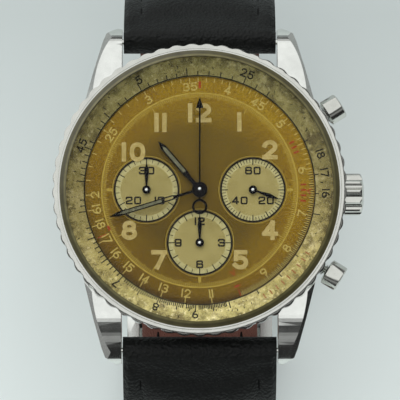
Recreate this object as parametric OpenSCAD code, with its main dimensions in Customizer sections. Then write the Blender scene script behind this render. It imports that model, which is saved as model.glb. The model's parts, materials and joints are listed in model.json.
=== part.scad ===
// Chronograph wristwatch with a rotating slide-rule bezel, buckled on its padded strap.
// Millimetres. +Z leaves the dial, +Y points to 12 o'clock, +X points to the crown.
// The origin is the centre of the case back's outer face.

/* [Case] */
// Radius of the middle case
case_r = 19.6; // [18:0.1:20]
// Height of the case shoulder that the bezel runs on
shoulder_z = 7.6; // [6:0.1:9]
// Radius of the neck inside the bezel
neck_r = 17.6; // [17:0.1:18]
// Radius of the hole that shows the dial
dial_hole_r = 16.4; // [16:0.1:17]
// Radius of the case back
back_r = 16.85; // [16:0.05:16.85]
// Width of the strap between the lugs
lug_gap = 22.2; // [18:0.1:24]
// Distance from the dial's centre to the lug bars
bar_y = 22.2; // [21:0.1:24]
// Height of the lug bars
bar_z = 2.5; // [2:0.1:4]

/* [Bezel] */
// Radius over the scallops
bezel_r = 20.75; // [20:0.05:22]
// Depth of a scallop
scallop_depth = 0.42; // [0.1:0.02:0.6]
// Outer radius of the gasket round the crystal
gasket_r = 19.68; // [19.3:0.02:19.75]
// Number of scallops
scallops = 57; // [40:1:80]

/* [Crown and pushers] */
// Height of the crown's axis
crown_z = 3.5; // [3:0.1:4.5]
// Radius of the crown
crown_r = 3.0; // [2.5:0.05:3.5]
// Number of flutes round the crown
flutes = 12; // [8:1:36]
// Height of the pushers' axes
pusher_z = 5.9; // [5:0.1:6.5]
// Angle between the crown and each pusher
pusher_angle = 32; // [26:1:40]
// Radius of a pusher's cap
pusher_r = 1.85; // [1.5:0.05:2.2]

/* [Dial and hands] */
// Height of the dial's top face
dial_z = 8.4; // [8:0.05:9]
// Distance from the centre to each sub-dial's centre
sub_offset = 7.5; // [6:0.1:8.5]
// Radius of a sub-dial
sub_r = 4.5; // [3.5:0.1:5]
// Length of the hour hand
hour_len = 9.1; // [7:0.1:11]
// Length of the minute hand
minute_len = 13.3; // [10:0.1:14]
// Length of the chronograph's centre hand
chrono_len = 13.1; // [10:0.1:14]
// Length of the small hands
small_len = 4.05; // [3:0.05:4.3]

/* [Gear train] */
// Module of the barrel's teeth
barrel_m = 0.16; // [0.1:0.01:0.2]
// Module of the centre and third wheels
train_m = 0.12; // [0.08:0.01:0.14]
// Module of the fourth wheel
fourth_m = 0.088; // [0.08:0.001:0.1]
// Module of the wheels under the dial
motion_m = 0.13; // [0.1:0.01:0.15]

/* [Strap] */
// Width of the strap at the lugs
strap_w = 21.8; // [18:0.1:22]
// Width of the strap at the buckle
tail_w = 18; // [14:0.5:20]

/* [Hidden] */
$fn = 48;
barrel_teeth = 72;
centre_pinion_teeth = 12;
centre_teeth = 64;
third_pinion_teeth = 8;
third_teeth = 60;
fourth_pinion_teeth = 8;
fourth_teeth = 84;
escape_pinion_teeth = 7;
cannon_teeth = 10;
minute_teeth = 30;
minute_pinion_teeth = 8;
hour_teeth = 32;
barrel_d = barrel_m * (barrel_teeth + centre_pinion_teeth) / 2;
centre_d = train_m * (centre_teeth + third_pinion_teeth) / 2;
third_d = train_m * (third_teeth + fourth_pinion_teeth) / 2;
escape_d = fourth_m * (fourth_teeth + escape_pinion_teeth) / 2;
third_x = (sub_offset * sub_offset + centre_d * centre_d - third_d * third_d) / (2 * sub_offset);
third_y = -sqrt(centre_d * centre_d - third_x * third_x);
barrel_angle = 200;
barrel_at = [barrel_d * cos(barrel_angle), barrel_d * sin(barrel_angle)];
third_at = [third_x, third_y];
fourth_at = [sub_offset, 0];
escape_angle = 100;
escape_at = fourth_at + escape_d * [cos(escape_angle), sin(escape_angle)];
lever_angle = 125;
pallet_at = escape_at + 2.75 * [cos(lever_angle), sin(lever_angle)];
balance_at = pallet_at + 3.2 * [cos(lever_angle), sin(lever_angle)];
motion_d = motion_m * (cannon_teeth + minute_teeth) / 2;
motion_angle = 60;
motion_at = motion_d * [cos(motion_angle), sin(motion_angle)];
hour_m = 2 * motion_d / (minute_pinion_teeth + hour_teeth);
hour_angle = 40.6;
minute_angle = 107.2;
seconds_angle = -110;
screw_spots = [[-12.6, 5.2], [-11.4, -7.6], [1.2, -12.6], [12.2, -5.6], [12.3, 5.5], [-1.2, 12.6]];
setting_swing = 14.7;
setting_at = [12.55 + 1.95 * sin(setting_swing), 2.4];
// The chronograph's wheels: centre hand to minute counter, then on to hour counter
runner_m = 0.11;
runner_teeth = 10;
minute_idler_teeth = 60;
minute_idler_pinion = 12;
idler_m = 0.105;
minute_counter_teeth = 60;
counter_pinion = 8;
hour_idler_m = 0.202;
hour_idler_teeth = 48;
hour_idler_pinion = 8;
hour_counter_m = 0.25;
hour_counter_teeth = 32;
minute_counter_at = [-sub_offset, 0];
hour_counter_at = [0, -sub_offset];
runner_d = runner_m * (runner_teeth + minute_idler_teeth) / 2;
idler_d = idler_m * (minute_idler_pinion + minute_counter_teeth) / 2;
hour_idler_d = hour_idler_m * (counter_pinion + hour_idler_teeth) / 2;
hour_counter_d = hour_counter_m * (hour_idler_pinion + hour_counter_teeth) / 2;
minute_idler_at = third_corner([0, 0], minute_counter_at, runner_d, idler_d);
hour_idler_at = third_corner(minute_counter_at, hour_counter_at, hour_idler_d, hour_counter_d);
runner_angle = bearing([0, 0], minute_idler_at);
idler_angle = bearing(minute_idler_at, minute_counter_at);
counter_angle = bearing(minute_counter_at, hour_idler_at);
hour_idler_angle = bearing(hour_idler_at, hour_counter_at);
lower_z = 5.3;
middle_z = 5.52;
upper_z = 5.74;
wheel_t = 0.14;
collet_z = 3.2;
floor_z = 4.5;
rest_z = -49.4;

// ---- helpers ----

function ring_point(r, a) = [r * cos(a), r * sin(a)];

function bearing(a, b) = atan2(b[1] - a[1], b[0] - a[0]);

// The point to the right of the line from a to b, at da from a and db from b
function third_corner(a, b, da, db) =
    let (d = norm(b - a), t = (d * d + da * da - db * db) / (2 * d), u = (b - a) / d)
    a + t * u + sqrt(da * da - t * t) * [u[1], -u[0]];

// A washer from r0 to r1, from z0 to z1
module washer(r0, r1, z0, z1) {
    translate([0, 0, z0])
        difference() {
            cylinder(r = r1, h = z1 - z0);
            translate([0, 0, -1])
                cylinder(r = r0, h = z1 - z0 + 2);
        }
}

module disc(r, z0, z1) {
    translate([0, 0, z0])
        cylinder(r = r, h = z1 - z0);
}

// A toothed outline with pointed teeth, its pitch radius at half the tooth's height
module toothed(m, n, turn) {
    r = m * n / 2;
    step = 360 / n;
    polygon([for (i = [0 : n - 1]) each [
        ring_point(r - m * 1.0, turn + (i - 0.36) * step),
        ring_point(r + m * 0.72, turn + (i - 0.13) * step),
        ring_point(r + m * 0.72, turn + (i + 0.13) * step),
        ring_point(r - m * 1.0, turn + (i + 0.36) * step)]]);
}

// A spoked wheel from z0 to z1
module spoked_wheel(m, n, turn, z0, z1, spokes) {
    r = m * n / 2;
    translate([0, 0, z0])
        linear_extrude(z1 - z0)
            difference() {
                toothed(m, n, turn);
                difference() {
                    circle(r = r - m - 0.45, $fn = 36);
                    circle(r = 0.75, $fn = 24);
                    for (i = [0 : spokes - 1])
                        rotate(i * 360 / spokes)
                            translate([0, -0.22])
                                square([r, 0.44]);
                }
            }
}

module pinion(m, n, turn, z0, z1) {
    translate([0, 0, z0])
        linear_extrude(z1 - z0)
            toothed(m, n, turn);
}

function lerp(a, b, t) = a + (b - a) * t;

// A point of a smooth curve through four neighbours
function spline(p0, p1, p2, p3, t) = 0.5 * ((2 * p1) + (p2 - p0) * t
    + (2 * p0 - 5 * p1 + 4 * p2 - p3) * t * t + (3 * p1 - p0 - 3 * p2 + p3) * t * t * t);

function smooth(p, n) = [for (i = [0 : len(p) - 2]) for (k = [0 : n - 1])
    spline(p[max(i - 1, 0)], p[i], p[i + 1], p[min(i + 2, len(p) - 1)], k / n), p[len(p) - 1]];

function unit(v) = v / norm(v);

// The curve moved sideways by d, to the left of its direction
function shifted(c, d0, d1) = [for (i = [0 : len(c) - 1])
    let (a = c[max(i - 1, 0)], b = c[min(i + 1, len(c) - 1)], u = unit(b - a),
         d = lerp(d0, d1, i / (len(c) - 1)))
    c[i] + d * [-u[1], u[0]]];

function reversed(c) = [for (i = [len(c) - 1 : -1 : 0]) c[i]];

// Turns a [y, z] outline extruded along its third axis into a solid centred across X
module across(w) {
    rotate([90, 0, 90])
        translate([0, 0, -w / 2])
            linear_extrude(w)
                children();
}

// ---- case ----

module case_body() {
    rotate_extrude($fn = 96)
        polygon([[17.0, 1.3], [17.9, 1.05], [19.1, 1.9], [case_r, 3.0], [case_r, 6.9],
            [19.25, shoulder_z], [19.1, shoulder_z], [19.1, shoulder_z - 0.3], [18.4, shoulder_z - 0.3],
            [18.4, shoulder_z], [neck_r, shoulder_z], [neck_r, 7.72], [neck_r - 0.3, 7.72],
            [neck_r - 0.3, 8.16], [neck_r, 8.16], [neck_r, 8.3], [dial_hole_r, 8.3], [dial_hole_r, 8.0],
            [15.95, 8.0], [15.95, 2.4], [16.9, 2.4], [16.9, 1.3]]);
}

// One lug, on the crown side at 12 o'clock
module lug() {
    difference() {
        intersection() {
            translate([0, 0, -1])
                linear_extrude(12)
                    polygon([[lug_gap / 2, 8.0], [lug_gap / 2, 24.0], [11.8, 24.2], [13.4, 23.3],
                        [13.9, 22.0], [15.0, 18.1], [16.2, 13.3], [17.2, 8.0]]);
            translate([10, 0, 0])
                rotate([90, 0, 90])
                    linear_extrude(8)
                        polygon(concat([[8.0, 6.95]], smooth([[13.5, 6.98], [15.5, 6.93], [18.0, 6.5],
                        [20.4, 5.65], [22.3, 4.5], [23.7, 3.2], [24.4, 1.9]], 5),
                        [[24.3, 0.9], [23.0, 0.35], [20.0, 0.55], [17.0, 1.2], [8.0, 2.0]]));
        }
        translate([15.5, 13.3, 7.3])
            rotate([-17.3, 0, 17.3])
                rotate([0, 38, 0])
                    translate([0, -12, 0])
                        cube([6, 30, 4]);
        translate([0, bar_y, bar_z])
            rotate([0, 90, 0])
                cylinder(r = 0.5, h = 12.5);
    }
}

module mid_case() color([0.62, 0.62, 0.61]) {
    difference() {
        union() {
            case_body();
            for (sx = [0, 1])
                for (sy = [0, 1])
                    mirror([sx, 0, 0])
                        mirror([0, sy, 0])
                            lug();
        }
        translate([0, 0, -2])
            cylinder(r = 15.95, h = 14);
        disc(16.9, -1, 2.4);
        translate([14, 0, crown_z])
            rotate([0, 90, 0])
                cylinder(r = 1.3, h = 10);
        for (s = [-1, 1])
            rotate([0, 0, s * pusher_angle])
                translate([14, 0, pusher_z])
                    rotate([0, 90, 0]) {
                        cylinder(r = 1.3, h = 10);
                        // room for the cap when it is pressed
                        translate([0, 0, 6.2])
                            cylinder(r = pusher_r + 0.1, h = 4);
                    }
    }
}

module case_back() color([0.6, 0.6, 0.6])
    difference() {
        rotate_extrude($fn = 96)
            polygon([[0, 0], [15.6, 0], [16.6, 0.5], [back_r, 1.0], [back_r, 2.2], [15.9, 2.2],
                [15.9, 0.9], [0, 0.9]]);
        for (i = [0 : 5])
            rotate([0, 0, 30 + 60 * i])
                translate([15.2, -0.9, -0.1])
                    cube([1.0, 1.8, 0.55]);
    }

module case_back_gasket() color([0.08, 0.08, 0.08])
    washer(16.05, 16.75, 2.2, 2.4);

module crown_tube() color([0.7, 0.7, 0.7])
    translate([17.6, 0, crown_z])
        rotate([0, 90, 0])
            difference() {
                cylinder(r = 1.3, h = 3.9);
                translate([0, 0, -1])
                    cylinder(r = 0.66, h = 6);
            }

module pusher_tubes() color([0.68, 0.68, 0.68])
    for (s = [-1, 1])
        rotate([0, 0, s * pusher_angle])
            translate([17.2, 0, pusher_z])
                rotate([0, 90, 0])
                    difference() {
                        cylinder(r = 1.3, h = 2.9);
                        translate([0, 0, -1])
                            cylinder(r = 0.62, h = 5);
                        translate([0, 0, 0.9])
                            cylinder(r = 1.0, h = 3);
                    }

module bezel_gasket() color([0.08, 0.08, 0.08])
    washer(18.45, 19.05, shoulder_z - 0.3, shoulder_z + 0.05);

// ---- bezel ----

function scallop_r(a) = bezel_r - scallop_depth * (1 - pow(abs(sin((a - 90) * scallops / 2)), 0.8));

module bezel_ring() color([0.72, 0.72, 0.7])
    difference() {
        intersection() {
            translate([0, 0, 7.72])
                linear_extrude(3.2)
                    polygon([for (i = [0 : scallops * 6 - 1])
                        let (a = i * 360 / (scallops * 6)) ring_point(scallop_r(a), a)]);
            rotate_extrude($fn = 96)
                polygon([[17.0, 7.72], [19.9, 7.72], [20.3, 8.0], [bezel_r + 0.1, 8.35],
                    [bezel_r + 0.1, 9.45], [20.35, 9.75], [19.98, 9.78], [19.98, 9.62], [19.9, 9.62],
                    [19.9, 10.0], [17.0, 10.0]]);
        }
        disc(neck_r + 0.08, 7, 9.2);
        disc(neck_r + 0.3, 7.78, 8.1);
        disc(19.0, 8.6, 9.9);
        disc(gasket_r + 0.02, 9.84, 11);
    }

module bezel_snap_wire() color([0.6, 0.6, 0.6])
    difference() {
        washer(neck_r - 0.2, neck_r + 0.3, 7.78, 8.1);
        rotate([0, 0, -4])
            translate([15, 0, 7])
                cube([5, 1.6, 2]);
    }

module slide_rule_ring() color([0.72, 0.7, 0.5])
    rotate_extrude($fn = 96)
        polygon([[16.2, 8.52], [17.6, 8.52], [17.6, 8.64], [18.95, 8.64], [18.95, 9.8],
            [18.8, 9.78], [16.2, 8.68]]);

module crystal() color([0.85, 0.9, 0.92, 0.25])
    rotate_extrude($fn = 96)
        polygon([for (i = [0 : 10]) let (r = 17.8 * i / 10) [r, 11.2 - 1.35 * pow(r / 17.8, 2)],
            [17.9, 9.84], [18.78, 9.84], [18.78, 10.7],
            for (i = [0 : 10]) let (r = 18.6 * (1 - i / 10)) [r, 12.4 - 1.55 * pow(r / 18.6, 2)]]);

module crystal_gasket() color([0.05, 0.05, 0.05])
    rotate_extrude()
        polygon([[18.8, 9.84], [gasket_r, 9.84], [gasket_r, 10.0], [18.8, 10.65]]);

// ---- crown and pushers ----

module fluted(r, depth, n, h) {
    linear_extrude(h)
        polygon([for (i = [0 : n * 6 - 1])
            let (a = i * 360 / (n * 6)) ring_point(r - depth * pow(abs(sin(a * n / 2)), 2), a)]);
}

module crown() color([0.72, 0.72, 0.7])
    translate([20.4, 0, crown_z])
        rotate([0, 90, 0])
            difference() {
                intersection() {
                    fluted(crown_r, 0.42, flutes, 3.4);
                    rotate_extrude()
                        polygon([[0, 0], [2.7, 0], [crown_r + 0.02, 0.35], [crown_r + 0.02, 2.25],
                            [2.75, 2.6], [2.2, 2.8], [1.3, 2.95], [0, 3.0]]);
                }
                translate([0, 0, -0.1])
                    cylinder(r = 2.2, h = 0.75);
                translate([0, 0, -0.1])
                    cylinder(r = 1.45, h = 1.7);
                translate([0, 0, -0.1])
                    cylinder(r = 0.6, h = 2.2);
            }

module crown_gasket() color([0.06, 0.06, 0.06])
    translate([20.42, 0, crown_z])
        rotate([0, 90, 0])
            washer(1.33, 2.15, 0, 0.6);

module winding_stem() color([0.7, 0.7, 0.72])
    translate([0, 0, crown_z])
        rotate([0, 90, 0]) {
            difference() {
                translate([0, 0, 11.4])
                    cylinder(r = 0.6, h = 11.1);
                translate([0, 0, 12.1])
                    washer(0.3, 1, 0, 0.9);
            }
            translate([0, 0, 11.45])
                linear_extrude(0.6)
                    difference() {
                        toothed(0.15, 12, 0);
                        circle(r = 0.5);
                    }
        }

// Turns on its own pin and reaches into the groove of the winding stem
module setting_lever() color([0.75, 0.75, 0.77])
    translate([setting_at[0], setting_at[1], 0]) {
        disc(0.3, 3.3, 4.8);
        rotate([0, 0, -setting_swing])
            translate([0, 0, 3.3])
                linear_extrude(0.35)
                    polygon([[-0.45, 0.45], [0.45, 0.45], [0.45, -0.3], [0.2, -1.2], [0.18, -1.95],
                        [-0.18, -1.95], [-0.2, -1.2], [-0.45, -0.3]]);
    }

module pusher(s)
    rotate([0, 0, s * pusher_angle])
        translate([0, 0, pusher_z])
            rotate([0, 90, 0]) {
                translate([0, 0, 16.2])
                    cylinder(r = 0.55, h = 5.4);
                translate([0, 0, 21.1])
                    rotate_extrude()
                        polygon([[0, 0], [1.4, 0], [pusher_r, 0.2], [pusher_r, 2.3],
                            [pusher_r - 0.15, 2.45], [0, 2.5]]);
                translate([0, 0, 16.2])
                    cylinder(r = 0.9, h = 0.25);
            }

module start_pusher() color([0.72, 0.72, 0.7])
    pusher(1);

module reset_pusher() color([0.72, 0.72, 0.7])
    pusher(-1);

// Coils of one pusher's spring, joined by a thin backbone strip
module pusher_spring(s)
    rotate([0, 0, s * pusher_angle])
        translate([18.15, 0, pusher_z])
            rotate([0, 90, 0]) {
                for (i = [0 : 4])
                    translate([0, 0, i * 0.66])
                        washer(0.66, 0.94, 0, 0.24);
                translate([0.68, -0.09, 0])
                    cube([0.2, 0.18, 2.88]);
            }

module start_pusher_spring() color([0.7, 0.7, 0.7])
    pusher_spring(1);

module reset_pusher_spring() color([0.7, 0.7, 0.7])
    pusher_spring(-1);

// ---- movement frame ----

module pusher_ways(r, z0, h)
    for (s = [-1, 1])
        rotate([0, 0, s * pusher_angle])
            translate([13.6, -r, z0])
                cube([6, 2 * r, h]);

module movement_ring() color([0.75, 0.7, 0.55])
    difference() {
        washer(14.08, 15.9, 2.6, 7.95);
        translate([13, -1.3, 0])
            cube([6, 2.6, 5]);
        pusher_ways(1.1, 4.8, 2.2);
    }

module main_plate() color([0.78, 0.7, 0.5])
    difference() {
        union() {
            disc(14.03, floor_z, 5.3);
            washer(13.3, 14.03, 3.15, 5.0);
            intersection() {
                disc(14.03, 3.15, 5.0);
                for (p = screw_spots)
                    translate([p[0], p[1], 3.15])
                        cylinder(r = 0.9, h = 1.6);
            }
        }
        for (p = screw_spots)
            translate([p[0], p[1], 3.0])
                cylinder(r = 0.4, h = 1.6);
        translate([11.4, -1.15, 2])
            cube([6, 2.3, 2.75]);
        translate([12.2, 0, 2])
            cube([3, 3.4, 2.47]);
        translate([0, 0, 4])
            cylinder(r = 0.33, h = 3);
        translate([fourth_at[0], fourth_at[1], 4])
            cylinder(r = 0.2, h = 3);
        for (p = [barrel_at, third_at, escape_at, pallet_at, balance_at])
            translate([p[0], p[1], 4.4])
                cylinder(r = 0.17, h = 0.5);
        for (p = [minute_counter_at, hour_counter_at, minute_idler_at, hour_idler_at])
            translate([p[0], p[1], 5.0])
                cylinder(r = 0.22, h = 0.5);
        translate([setting_at[0], setting_at[1], 4.3])
            cylinder(r = 0.33, h = 0.55);
    }

module bridge_holes(list)
    for (p = list)
        translate([p[0], p[1], 2])
            cylinder(r = 0.17, h = 2);

module barrel_bridge() color([0.75, 0.74, 0.7])
    difference() {
        intersection() {
            disc(14.0, 2.6, 3.15);
            translate([0, 0, 2])
                linear_extrude(2)
                    polygon([[-15, -15], [-2.0, -15], [-2.0, -1.6], [-2.6, 2.0], [-5.8, 15], [-15, 15]]);
        }
        bridge_holes([barrel_at]);
        for (p = screw_spots)
            translate([p[0], p[1], 2])
                cylinder(r = 0.42, h = 2);
    }

module train_bridge() color([0.75, 0.74, 0.7])
    difference() {
        intersection() {
            disc(14.0, 2.6, 3.15);
            translate([0, 0, 2])
                linear_extrude(2)
                    polygon([[-1.8, -15], [15, -15], [15, 6.5], [8.6, 5.3], [6.2, 6.3], [2.4, 4.6],
                        [-2.2, 2.4], [-1.8, -1.6]]);
        }
        bridge_holes([[0, 0], third_at, fourth_at, escape_at]);
        translate([11.4, -1.15, 2])
            cube([6, 2.3, 3]);
        for (p = screw_spots)
            translate([p[0], p[1], 2])
                cylinder(r = 0.42, h = 2);
    }

module balance_cock() color([0.75, 0.74, 0.7])
    difference() {
        intersection() {
            disc(14.0, 2.6, 3.15);
            translate([0, 0, 2])
                linear_extrude(2)
                    polygon([[-5.4, 15], [-2.2, 3.2], [1.0, 4.6], [5.6, 6.8], [5.9, 8.2], [4.2, 10.2],
                        [1.9, 11.2], [1.6, 15]]);
        }
        bridge_holes([pallet_at, balance_at]);
        for (p = screw_spots)
            translate([p[0], p[1], 2])
                cylinder(r = 0.42, h = 2);
    }

module bridge_screws() color([0.35, 0.4, 0.6])
    for (p = screw_spots)
        translate([p[0], p[1], 0])
            difference() {
                union() {
                    disc(0.65, 2.35, 2.6);
                    disc(0.38, 2.5, 4.5);
                }
                translate([-0.7, -0.09, 2.2])
                    cube([1.4, 0.18, 0.25]);
            }

// ---- going train ----

module mainspring_barrel() color([0.8, 0.72, 0.45])
    translate([barrel_at[0], barrel_at[1], 0])
        difference() {
            union() {
                disc(5.15, 3.62, 4.4);
                pinion(barrel_m, barrel_teeth, barrel_turn, 3.95, 4.2);
            }
            translate([0, 0, 3.76])
                cylinder(r = 4.9, h = 0.5);
            translate([0, 0, 3])
                cylinder(r = 0.5, h = 2);
        }

// The teeth are turned so that each pair is in mesh at rest
barrel_turn = barrel_angle + 180 + 180 / barrel_teeth;
centre_pinion_turn = barrel_angle;
centre_turn = atan2(third_y, third_x);
third_pinion_turn = centre_turn + 180 + 180 / third_pinion_teeth;
third_turn = atan2(-third_y, sub_offset - third_x);
fourth_pinion_turn = third_turn + 180 + 180 / fourth_pinion_teeth;
fourth_turn = escape_angle;
escape_pinion_turn = escape_angle + 180 + 180 / escape_pinion_teeth;

module barrel_arbor() color([0.7, 0.7, 0.72])
    translate([barrel_at[0], barrel_at[1], 0]) {
        disc(0.15, 2.7, 4.8);
        disc(0.45, 3.3, 4.44);
        // the coiled mainspring
        translate([0, 0, 3.8])
            linear_extrude(0.4)
                polygon([for (k = [0 : 72]) ring_point(0.4 + k * 0.06 + 0.15, k * 20),
                    for (k = [72 : -1 : 0]) ring_point(0.4 + k * 0.06, k * 20)]);
    }

module centre_wheel() color([0.8, 0.72, 0.45]) {
    spoked_wheel(train_m, centre_teeth, centre_turn, 3.28, 3.42, 4);
    disc(0.28, 3.4, 4.85);
    pinion(barrel_m, centre_pinion_teeth, centre_pinion_turn, 3.9, 4.25);
    disc(0.14, 2.7, 3.4);
}

module third_wheel() color([0.8, 0.72, 0.45])
    translate([third_at[0], third_at[1], 0]) {
        spoked_wheel(train_m, third_teeth, third_turn, 3.62, 3.76, 4);
        pinion(train_m, third_pinion_teeth, third_pinion_turn, 3.22, 3.7);
        disc(0.14, 2.7, 4.8);
    }

module fourth_wheel() color([0.8, 0.72, 0.45])
    translate([fourth_at[0], fourth_at[1], 0]) {
        spoked_wheel(fourth_m, fourth_teeth, fourth_turn, 4.06, 4.18, 4);
        pinion(train_m, fourth_pinion_teeth, fourth_pinion_turn, 3.52, 4.1);
        disc(0.14, 2.7, 8.6);
    }

module escape_wheel() color([0.8, 0.8, 0.78])
    translate([escape_at[0], escape_at[1], 0]) {
        translate([0, 0, 3.6])
            linear_extrude(0.14)
                difference() {
                    polygon([for (i = [0 : 19]) each [ring_point(1.45, i * 18), ring_point(2.0, i * 18 - 5),
                        ring_point(1.98, i * 18 - 2), ring_point(1.55, i * 18 + 9)]]);
                    difference() {
                        circle(r = 1.15, $fn = 24);
                        for (i = [0 : 3])
                            rotate(i * 90)
                                translate([0, -0.12])
                                    square([2, 0.24]);
                        circle(r = 0.4, $fn = 24);
                    }
                }
        pinion(fourth_m, escape_pinion_teeth, escape_pinion_turn, 3.95, 4.3);
        disc(0.14, 2.7, 4.8);
    }

module pallet_fork() color([0.72, 0.72, 0.74])
    translate([pallet_at[0], pallet_at[1], 0]) {
        disc(0.13, 2.7, 4.8);
        rotate([0, 0, lever_angle])
            translate([0, 0, 3.36])
                linear_extrude(0.16)
                    polygon([[-0.35, -1.3], [-0.05, -1.35], [0.2, -0.3], [1.6, -0.12], [2.4, -0.3],
                        [2.4, -0.12], [2.1, 0], [2.4, 0.12], [2.4, 0.3], [1.6, 0.12], [0.2, 0.3],
                        [-0.05, 1.35], [-0.35, 1.3], [-0.3, 0]]);
        for (s = [-1, 1])
            rotate([0, 0, lever_angle])
                translate([-0.5, s * 1.32 - 0.1, 3.36])
                    cube([0.4, 0.2, 0.38]);
    }

module balance_wheel() color([0.8, 0.7, 0.4])
    translate([balance_at[0], balance_at[1], 0]) {
        washer(2.55, 2.9, 3.8, 4.15);
        translate([0, 0, 3.85])
            linear_extrude(0.15) {
                translate([-2.7, -0.2])
                    square([5.4, 0.4]);
                circle(r = 0.5);
            }
        disc(0.13, 2.7, 4.8);
        disc(0.45, 3.62, 3.7);
        disc(0.3, 3.62, 3.9);
    }

module hairspring() color([0.3, 0.35, 0.6])
    translate([balance_at[0], balance_at[1], collet_z])
        linear_extrude(0.1)
            polygon([for (k = [0 : 60]) ring_point(0.36 + k * 0.022 + 0.07, k * 20),
                for (k = [60 : -1 : 0]) ring_point(0.36 + k * 0.022, k * 20)]);

module rotor() color([0.72, 0.7, 0.66])
    difference() {
        union() {
            difference() {
                union() {
                    disc(12.9, 1.5, 1.75);
                    washer(11.4, 13.2, 1.2, 2.3);
                }
                translate([-20, 0, 0])
                    cube([40, 20, 5]);
            }
            disc(2.3, 1.5, 1.95);
        }
        translate([0, 0, 0])
            cylinder(r = 1.5, h = 5);
        for (s = [-1, 1])
            rotate([0, 0, s * 42])
                translate([0, -7, 1])
                    cylinder(r = 1.6, h = 1.2);
    }

module rotor_bearing() color([0.7, 0.7, 0.7]) {
    disc(1.45, 1.45, 2.0);
    disc(0.9, 1.9, 2.6);
    disc(1.9, 1.25, 1.45);
}

// ---- under the dial ----

module cannon_pinion() color([0.7, 0.7, 0.72])
    difference() {
        union() {
            pinion(motion_m, cannon_teeth, motion_angle, 6.5, 6.95);
            disc(0.42, 6.5, 9.28);
        }
        disc(0.22, 6, 10);
    }

module minute_wheel() color([0.8, 0.72, 0.45])
    translate([motion_at[0], motion_at[1], 0]) {
        pinion(motion_m, minute_teeth, motion_angle + 180 + 180 / minute_teeth, 6.6, 6.78);
        pinion(hour_m, minute_pinion_teeth, motion_angle + 180 + 180 / minute_pinion_teeth, 6.78, 7.6);
        disc(0.14, 6.1, 7.75);
    }

module chronograph_plate() color([0.78, 0.7, 0.5])
    difference() {
        union() {
            disc(14.0, 6.0, 6.4);
            washer(13.0, 14.0, 5.35, 7.9);
        }
        disc(0.24, 5, 8);
        pusher_ways(1.1, 4.8, 2.2);
        for (p = [fourth_at, minute_counter_at, hour_counter_at])
            translate([p[0], p[1], 5])
                cylinder(r = 0.22, h = 3);
        translate([hour_idler_at[0], hour_idler_at[1], 5])
            cylinder(r = 0.18, h = 3);
        translate([motion_at[0], motion_at[1], 5])
            cylinder(r = 0.17, h = 3);
    }

// ---- dial ----

module sub_spots()
    for (p = [fourth_at, minute_counter_at, hour_counter_at])
        translate([p[0], p[1], 0])
            children();

module dial() color([0.45, 0.35, 0.12])
    difference() {
        disc(16.25, 8.0, dial_z);
        sub_spots()
            disc(sub_r + 0.15, dial_z - 0.15, dial_z + 1);
        translate([0, 0, 7])
            cylinder(r = 0.8, h = 3);
        for (p = [fourth_at, minute_counter_at, hour_counter_at])
            translate([p[0], p[1], 7])
                cylinder(r = 0.25, h = 3);
    }

module sub_dials() color([0.68, 0.62, 0.4])
    difference() {
        sub_spots()
            disc(sub_r + 0.15, dial_z - 0.15, dial_z - 0.07);
        for (p = [fourth_at, minute_counter_at, hour_counter_at])
            translate([p[0], p[1], 7])
                cylinder(r = 0.25, h = 3);
    }

// ---- hands ----

module hour_hand() color([0.4, 0.42, 0.36]) {
    rotate([0, 0, hour_angle])
        translate([0, 0, 8.78])
            linear_extrude(0.14)
                difference() {
                    union() {
                        circle(r = 1.1);
                        polygon([[-0.3, 0], [-0.3, 2.4], [-0.42, 2.9], [-0.42, 7.9], [0, hour_len],
                            [0.42, 7.9], [0.42, 2.9], [0.3, 2.4], [0.3, 0]]);
                    }
                    circle(r = 0.62);
                }
    difference() {
        union() {
            pinion(hour_m, hour_teeth, motion_angle, 7.15, 7.4);
            disc(0.68, 7.15, 8.85);
        }
        disc(0.46, 5.5, 9.5);
    }
}

module minute_hand() color([0.3, 0.3, 0.28])
    rotate([0, 0, minute_angle])
        difference() {
            union() {
                translate([0, 0, 9.05])
                    linear_extrude(0.12)
                        union() {
                            circle(r = 0.85);
                            polygon([[-0.2, 0], [-0.2, 3.4], [-0.34, 4.0], [-0.34, 12.0], [0, minute_len],
                                [0.34, 12.0], [0.34, 4.0], [0.2, 3.4], [0.2, 0]]);
                        }
            }
            disc(0.42, 8.5, 9.5);
            // the stretch that has lost its luminous paint
            translate([-0.17, 3.9, 8.5])
                cube([0.34, 1.5, 1]);
        }

module chronograph_hand() color([0.06, 0.06, 0.07]) {
    translate([0, 0, 9.34])
        linear_extrude(0.1)
            union() {
                circle(r = 0.62);
                polygon([[-0.12, 0], [-0.12, 11.5], [-0.53, 11.55], [0, chrono_len], [0.53, 11.55],
                    [0.12, 11.5], [0.12, 0]]);
                polygon([[-0.16, 0], [-0.12, -1.5], [0.12, -1.5], [0.16, 0]]);
                difference() {
                    translate([0, -2.5])
                        circle(r = 1.1);
                    translate([0, -2.5])
                        circle(r = 0.75);
                }
            }
    disc(0.18, 4.95, 9.72);
    disc(0.36, 9.44, 9.66);
    pinion(runner_m, runner_teeth, runner_angle, lower_z, lower_z + wheel_t);
}

// A small hand for a sub-dial, pointing to 12 o'clock
module small_hand(len)
    translate([0, 0, 8.52])
        linear_extrude(0.1)
            polygon([[-0.12, 0], [-0.14, 0.9], [-0.31, 2.5], [-0.09, 3.6], [0, len], [0.09, 3.6],
                [0.31, 2.5], [0.14, 0.9], [0.12, 0]]);

module small_seconds_hand() color([0.05, 0.05, 0.06])
    translate([fourth_at[0], fourth_at[1], 0])
        difference() {
            union() {
                disc(0.6, 8.5, 8.66);
                rotate([0, 0, seconds_angle])
                    small_hand(small_len);
            }
            disc(0.14, 8, 8.62);
        }

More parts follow.
